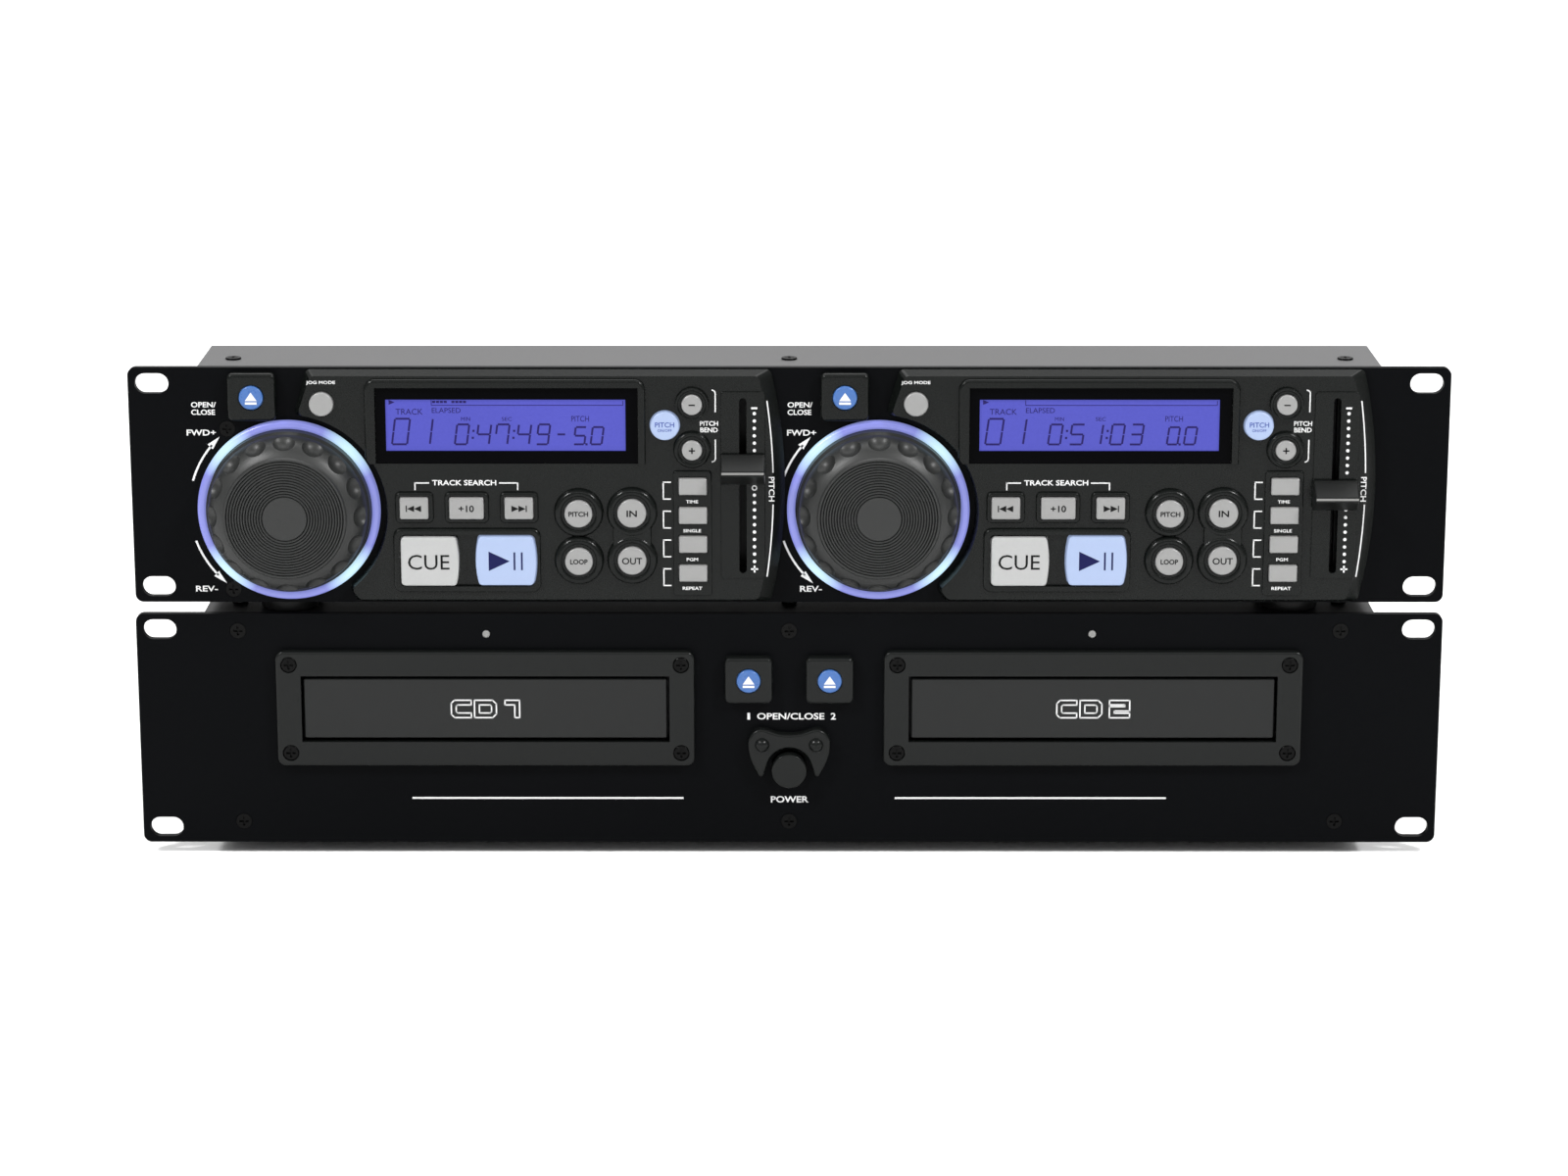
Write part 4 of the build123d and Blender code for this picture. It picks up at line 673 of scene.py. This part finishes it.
for deck in decks:
    addReading(deck, displayPrint)

# printing on the fascias
fasciaPrint = {
    "line": 0.45,
    "words": [("JOG MODE", 13.3, 39.5, 10.6, 1.5), ("TRACK SEARCH", 64.8, 2.4, 23.4, 2.0),
              ("PITCH", 154.3, 24.5, 6.6, 1.75), ("BEND", 154.3, 22.1, 6.4, 1.75)],
    "stripRise": 0.9, "plateRise": 0.6,
    "labels": [("TIME", 148.0, -4.5, 4.4, 1.2), ("SINGLE", 148.0, -15.4, 6.5, 1.2),
               ("PGM", 148.0, -26.2, 4.2, 1.2), ("REPEAT", 148.0, -37.1, 7.2, 1.2)],
    "trackBracket": (46.8, 84.3, 2.3, -0.4, 52.0, 77.5),
    "bendBracket": (155.3, 156.6, 36.9, 28.7, 10.2, 18.5),
    "stepX": (137.5, 140.3), "stepZ": (2.6, -3.7), "stepPitch": 10.85,
    "scaleX": 170.8, "dots": [28.3 - 2.75 * i for i in range(9)], "dotRadius": 0.62,
    "lowDots": [-2.1 - 2.77 * i for i in range(10)], "zeroZ": 0.6, "minusZ": 30.3, "plusZ": -29.9,
    "sweepX": 177.7, "sweepRadius": 235.0, "sweepAngles": ((8.05, 1.5), (-1.4, -8.05)),
}


def addFasciaPrint(deck, settings):
    layer = PrintLayer(deck["side"] + "FasciaPrint", controlBody, deck["origin"],
                       fasciaFront + 0.02, "whitePrint")
    width = settings["line"]
    for words, x, z, long, high in settings["words"]:
        layer.words(words, x, z, high, long, bold=0.018)
    left, right, top, low, innerLeft, innerRight = settings["trackBracket"]
    layer.line(left, top, innerLeft, top, width)
    layer.line(left, top + width / 2, left, low, width)
    layer.line(innerRight, top, right, top, width)
    layer.line(right, top + width / 2, right, low, width)
    inner, outer, highZ, upperEnd, lowZ, lowerEnd = settings["bendBracket"]
    bend = outer - inner
    layer.arc(inner, highZ - bend, bend, 90, 0, width, 8)
    layer.line(outer, highZ - bend, outer, upperEnd, width)
    layer.arc(inner, lowZ + bend, bend, -90, 0, width, 8)
    layer.line(outer, lowZ + bend, outer, lowerEnd, width)
    for i in range(4):
        down = i * settings["stepPitch"]
        x0, x1 = settings["stepX"]
        z0, z1 = settings["stepZ"]
        layer.line(x0 - width / 2, z0 - down, x1, z0 - down, width)
        layer.line(x0, z0 - down, x0, z1 - down, width)
        layer.line(x0 - width / 2, z1 - down, x1, z1 - down, width)
    radius = settings["sweepRadius"]
    for start, end in settings["sweepAngles"]:
        layer.arc(settings["sweepX"] - radius, 0, radius, start, end, width, 20)
    layer.words("PITCH", settings["sweepX"] - 0.6, 0, 2.1, 9.2, -math.pi / 2, bold=0.015)
    layer.finish()


def addFaderScale(deck, settings):
    layer = PrintLayer(deck["side"] + "FaderScale", controlBody, deck["origin"],
                       fasciaFront + settings["plateRise"] + 0.02, "whitePrint")
    x = settings["scaleX"]
    layer.bar(x, settings["minusZ"], 2.2, 0.7)
    for z in settings["dots"] + settings["lowDots"]:
        layer.dot(x, z, settings["dotRadius"])
    layer.arc(x, settings["zeroZ"], 0.8, 0, 360, 0.5, 20)
    layer.bar(x, settings["plusZ"], 2.6, 0.6)
    layer.bar(x, settings["plusZ"], 0.6, 2.6)
    layer.finish()


def addStripLabels(deck, settings):
    layer = PrintLayer(deck["side"] + "StripLabels", controlBody, deck["origin"],
                       fasciaFront + settings["stripRise"] + 0.02, "whitePrint")
    for words, x, z, long, high in settings["labels"]:
        layer.words(words, x, z, high, long, bold=0.018)
    layer.finish()


for deck in decks:
    addFasciaPrint(deck, fasciaPrint)
    addFaderScale(deck, fasciaPrint)
    addStripLabels(deck, fasciaPrint)

# printing on the control unit's panel, beside each wheel
panelPrint = {
    # words: text, left edge on the left deck, on the right deck, height in z, width, letter height
    "words": [("OPEN/", -34.9, -33.3, 30.2, 9.1, 2.0), ("CLOSE", -34.9, -33.3, 27.4, 8.7, 2.0),
              ("FWD+", -36.8, -33.5, 19.8, 10.7, 2.2), ("REV-", -35.4, -28.7, -39.0, 8.1, 2.2)],
    "wheelZ": -8.9, "radius": 36.7, "arcs": ((163, 139, 1), (199, 223, -1)), "line": 0.75,
    "head": (2.6, 5.2),
}


def addPanelPrint(deck, settings):
    layer = PrintLayer(deck["side"] + "PanelPrint", controlBody, deck["origin"], 0.02, "whitePrint")
    for words, onLeft, onRight, z, long, high in settings["words"]:
        x = onLeft if deck["side"] == "left" else onRight
        layer.words(words, x + long / 2, z, high, long, bold=0.018)
    for start, end, turning in settings["arcs"]:
        layer.arc(0, settings["wheelZ"], settings["radius"], start, end, settings["line"])
        angle = math.radians(end - 2.5 * turning)
        x = settings["radius"] * math.cos(angle)
        z = settings["wheelZ"] + settings["radius"] * math.sin(angle)
        heading = angle - math.pi / 2 * turning - math.pi / 2
        layer.triangle(x, z, *settings["head"], heading)
    layer.finish()


for deck in decks:
    addPanelPrint(deck, panelPrint)


# symbols on the keys, each riding on its own key
def keyFace(name):
    low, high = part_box(name)
    return Vector(((low.x + high.x) / 2, low.y, (low.z + high.z) / 2))


def keyLayer(body, materialName):
    return PrintLayer(body + "Symbol", body, keyFace(body), 0.02, materialName)


# bars: x, z, width, height; triangles: x, z, width, height, turn; words: text, x, z, width,
# height, boldness
toLeft, toRight = math.pi / 2, -math.pi / 2
eject = {"print": "whitePrint", "bars": [(0, -1.95, 4.3, 0.85)],
         "triangles": [(0, 0.5, 4.3, 3.1, 0)]}
keySigns = {
    "skip_ten_button": {"words": [("+10", 0, 0, 5.6, 2.5, 0.02)]},
    "cue_button": {"words": [("CUE", -0.4, -0.2, 15.2, 5.6, 0.0)]},
    "pitch_button": {"words": [("PITCH", 0, 0, 7.2, 1.9, 0.025)]},
    "loop_button": {"words": [("LOOP", 0, 0, 6.4, 1.9, 0.025)]},
    "in_button": {"words": [("IN", 0, 0, 3.8, 2.4, 0.02)]},
    "out_button": {"words": [("OUT", 0, 0, 7.4, 2.5, 0.015)]},
    "back_button": {"bars": [(-2.75, 0, 0.4, 2.4)],
                    "triangles": [(x, 0, 2.4, 2.6, toLeft) for x in (-1.2, 1.35)]},
    "forward_button": {"bars": [(2.75, 0, 0.4, 2.4)],
                       "triangles": [(x, 0, 2.4, 2.6, toRight) for x in (1.2, -1.35)]},
    "play_button": {"print": "indigoPrint", "bars": [(x, 0, 0.65, 6.7) for x in (3.1, 5.8)],
                    "triangles": [(-2.5, 0, 7.3, 7.7, toRight)]},
    "pitch_on_button": {"print": "bluePrint", "words": [("PITCH", 0, 0.5, 7.0, 1.9, 0.01),
                                                        ("ON/OFF", 0, -1.6, 5.2, 1.0, 0.01)]},
    "bend_down_button": {"bars": [(0, 0, 2.3, 0.5)]},
    "bend_up_button": {"bars": [(0, 0, 2.3, 0.5), (0, 0, 0.5, 2.3)]},
    "open_button": eject,
    "pitch_fader": {"print": "greyPrint", "bars": [(0, 0, 15.4, 0.8)]},
}


def addSign(body, sign):
    layer = keyLayer(body, sign.get("print", "blackPrint"))
    for x, z, width, height in sign.get("bars", []):
        layer.bar(x, z, width, height)
    for x, z, width, height, turn in sign.get("triangles", []):
        layer.triangle(x, z, width, height, turn)
    for words, x, z, width, height, bold in sign.get("words", []):
        layer.words(words, x, z, height, width, bold=bold)
    layer.finish()


for deck in decks:
    for key, sign in keySigns.items():
        addSign(f"{deck['side']}_{key}", sign)
for number in (1, 2):
    addSign(f"drive_open_button_{number}", eject)

# printing on the drive unit
drivePrint = {"lineLeft": -140.6, "lineRight": -39.4, "lineZ": -26.9, "line": 0.7,
              # words: text, x, z, width, height, boldness
              "words": [("1", -15.0, 4.8, 1.0, 2.6, 0.018),
                        ("OPEN/CLOSE", 0.6, 4.8, 25.0, 2.5, 0.018),
                        ("2", 16.4, 4.8, 1.9, 2.6, 0.018), ("POWER", 0.2, -27.4, 14.0, 2.5, 0.018)],
              "outline": 0.5, "letterZ": -3.5,
              "letters": {1: [("C", -12.7), ("D", -4.1), ("1", 7.2)],
                          2: [("C", -13.3), ("D", -4.7), ("2", 6.2)]}}
# outlines of the square letters on the trays
letters = {
    "C": [[(7.4, 6.7), (1.2, 6.7), (0, 5.5), (0, 1.2), (1.2, 0), (7.4, 0), (7.4, 1.8), (2.3, 1.8),
           (1.8, 2.3), (1.8, 4.4), (2.3, 4.9), (7.4, 4.9)]],
    "D": [[(0, 0), (6.7, 0), (8.1, 1.4), (8.1, 5.3), (6.7, 6.7), (0, 6.7)],
          [(1.8, 1.8), (5.8, 1.8), (6.3, 2.3), (6.3, 4.4), (5.8, 4.9), (1.8, 4.9)]],
    "1": [[(0, 6.7), (5.4, 6.7), (5.4, 0), (3.6, 0), (3.6, 4.9), (0, 4.9)]],
    "2": [[(0, 6.7), (7.5, 6.7), (7.5, 2.6), (1.8, 2.6), (1.8, 1.8), (7.5, 1.8), (7.5, 0), (0, 0),
           (0, 4.3), (5.7, 4.3), (5.7, 5.0), (0, 5.0)]],
}


def addDrivePrint(settings):
    layer = PrintLayer("drivePrint", driveBody, driveFace, 0.02, "whitePrint")
    layer.line(settings["lineLeft"], settings["lineZ"], settings["lineRight"],
               settings["lineZ"], settings["line"])
    layer.line(-settings["lineRight"], settings["lineZ"], -settings["lineLeft"],
               settings["lineZ"], settings["line"])
    for words, x, z, width, height, bold in settings["words"]:
        layer.words(words, x, z, height, width, bold=bold)
    layer.finish()
    for number, placed in settings["letters"].items():
        tray = keyLayer(f"disc_tray_{number}", "whitePrint")
        for letter, x in placed:
            for points in letters[letter]:
                tray.outline(points, x, settings["letterZ"], settings["outline"])
        tray.finish()


addDrivePrint(drivePrint)

# plain labels beside the sockets on the rear walls; x runs as on the front
rearPrint = {
    "drive": [("L", -176, -4.5, 1.4, 2.0), ("R", -158, -4.5, 1.6, 2.0), ("L", -140, -4.5, 1.4, 2.0),
              ("R", -122, -4.5, 1.6, 2.0), ("1", -104, -4.5, 0.8, 2.0), ("2", -86, -4.5, 1.5, 2.0),
              ("OUTPUT 1", -167, 1.5, 13.0, 2.0), ("OUTPUT 2", -131, 1.5, 13.5, 2.0),
              ("DIGITAL", -95, 1.5, 11.5, 2.0), ("CONTROL 1", -16, -2.0, 14.0, 1.9),
              ("CONTROL 2", 16, -2.0, 14.5, 1.9), ("MAINS", 168, 9.0, 11.0, 2.2)],
    "control": [("CONTROL 1", -120, 0.5, 14.0, 1.9), ("CONTROL 2", 120, 0.5, 14.5, 1.9)],
}


def addRearPrint(settings):
    walls = {"drive": (driveBody, driveFace), "control": (controlBody, controlFace)}
    for unit, (body, face) in walls.items():
        wall = Vector((0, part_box(unit + "_chassis")[1].y, face.z))
        layer = PrintLayer(unit + "RearPrint", body, wall, 0.02, "whitePrint", rear=True)
        for words, x, z, long, high in settings[unit]:
            layer.words(words, x, z, high, long)
        layer.finish()


addRearPrint(rearPrint)
print("printing done")
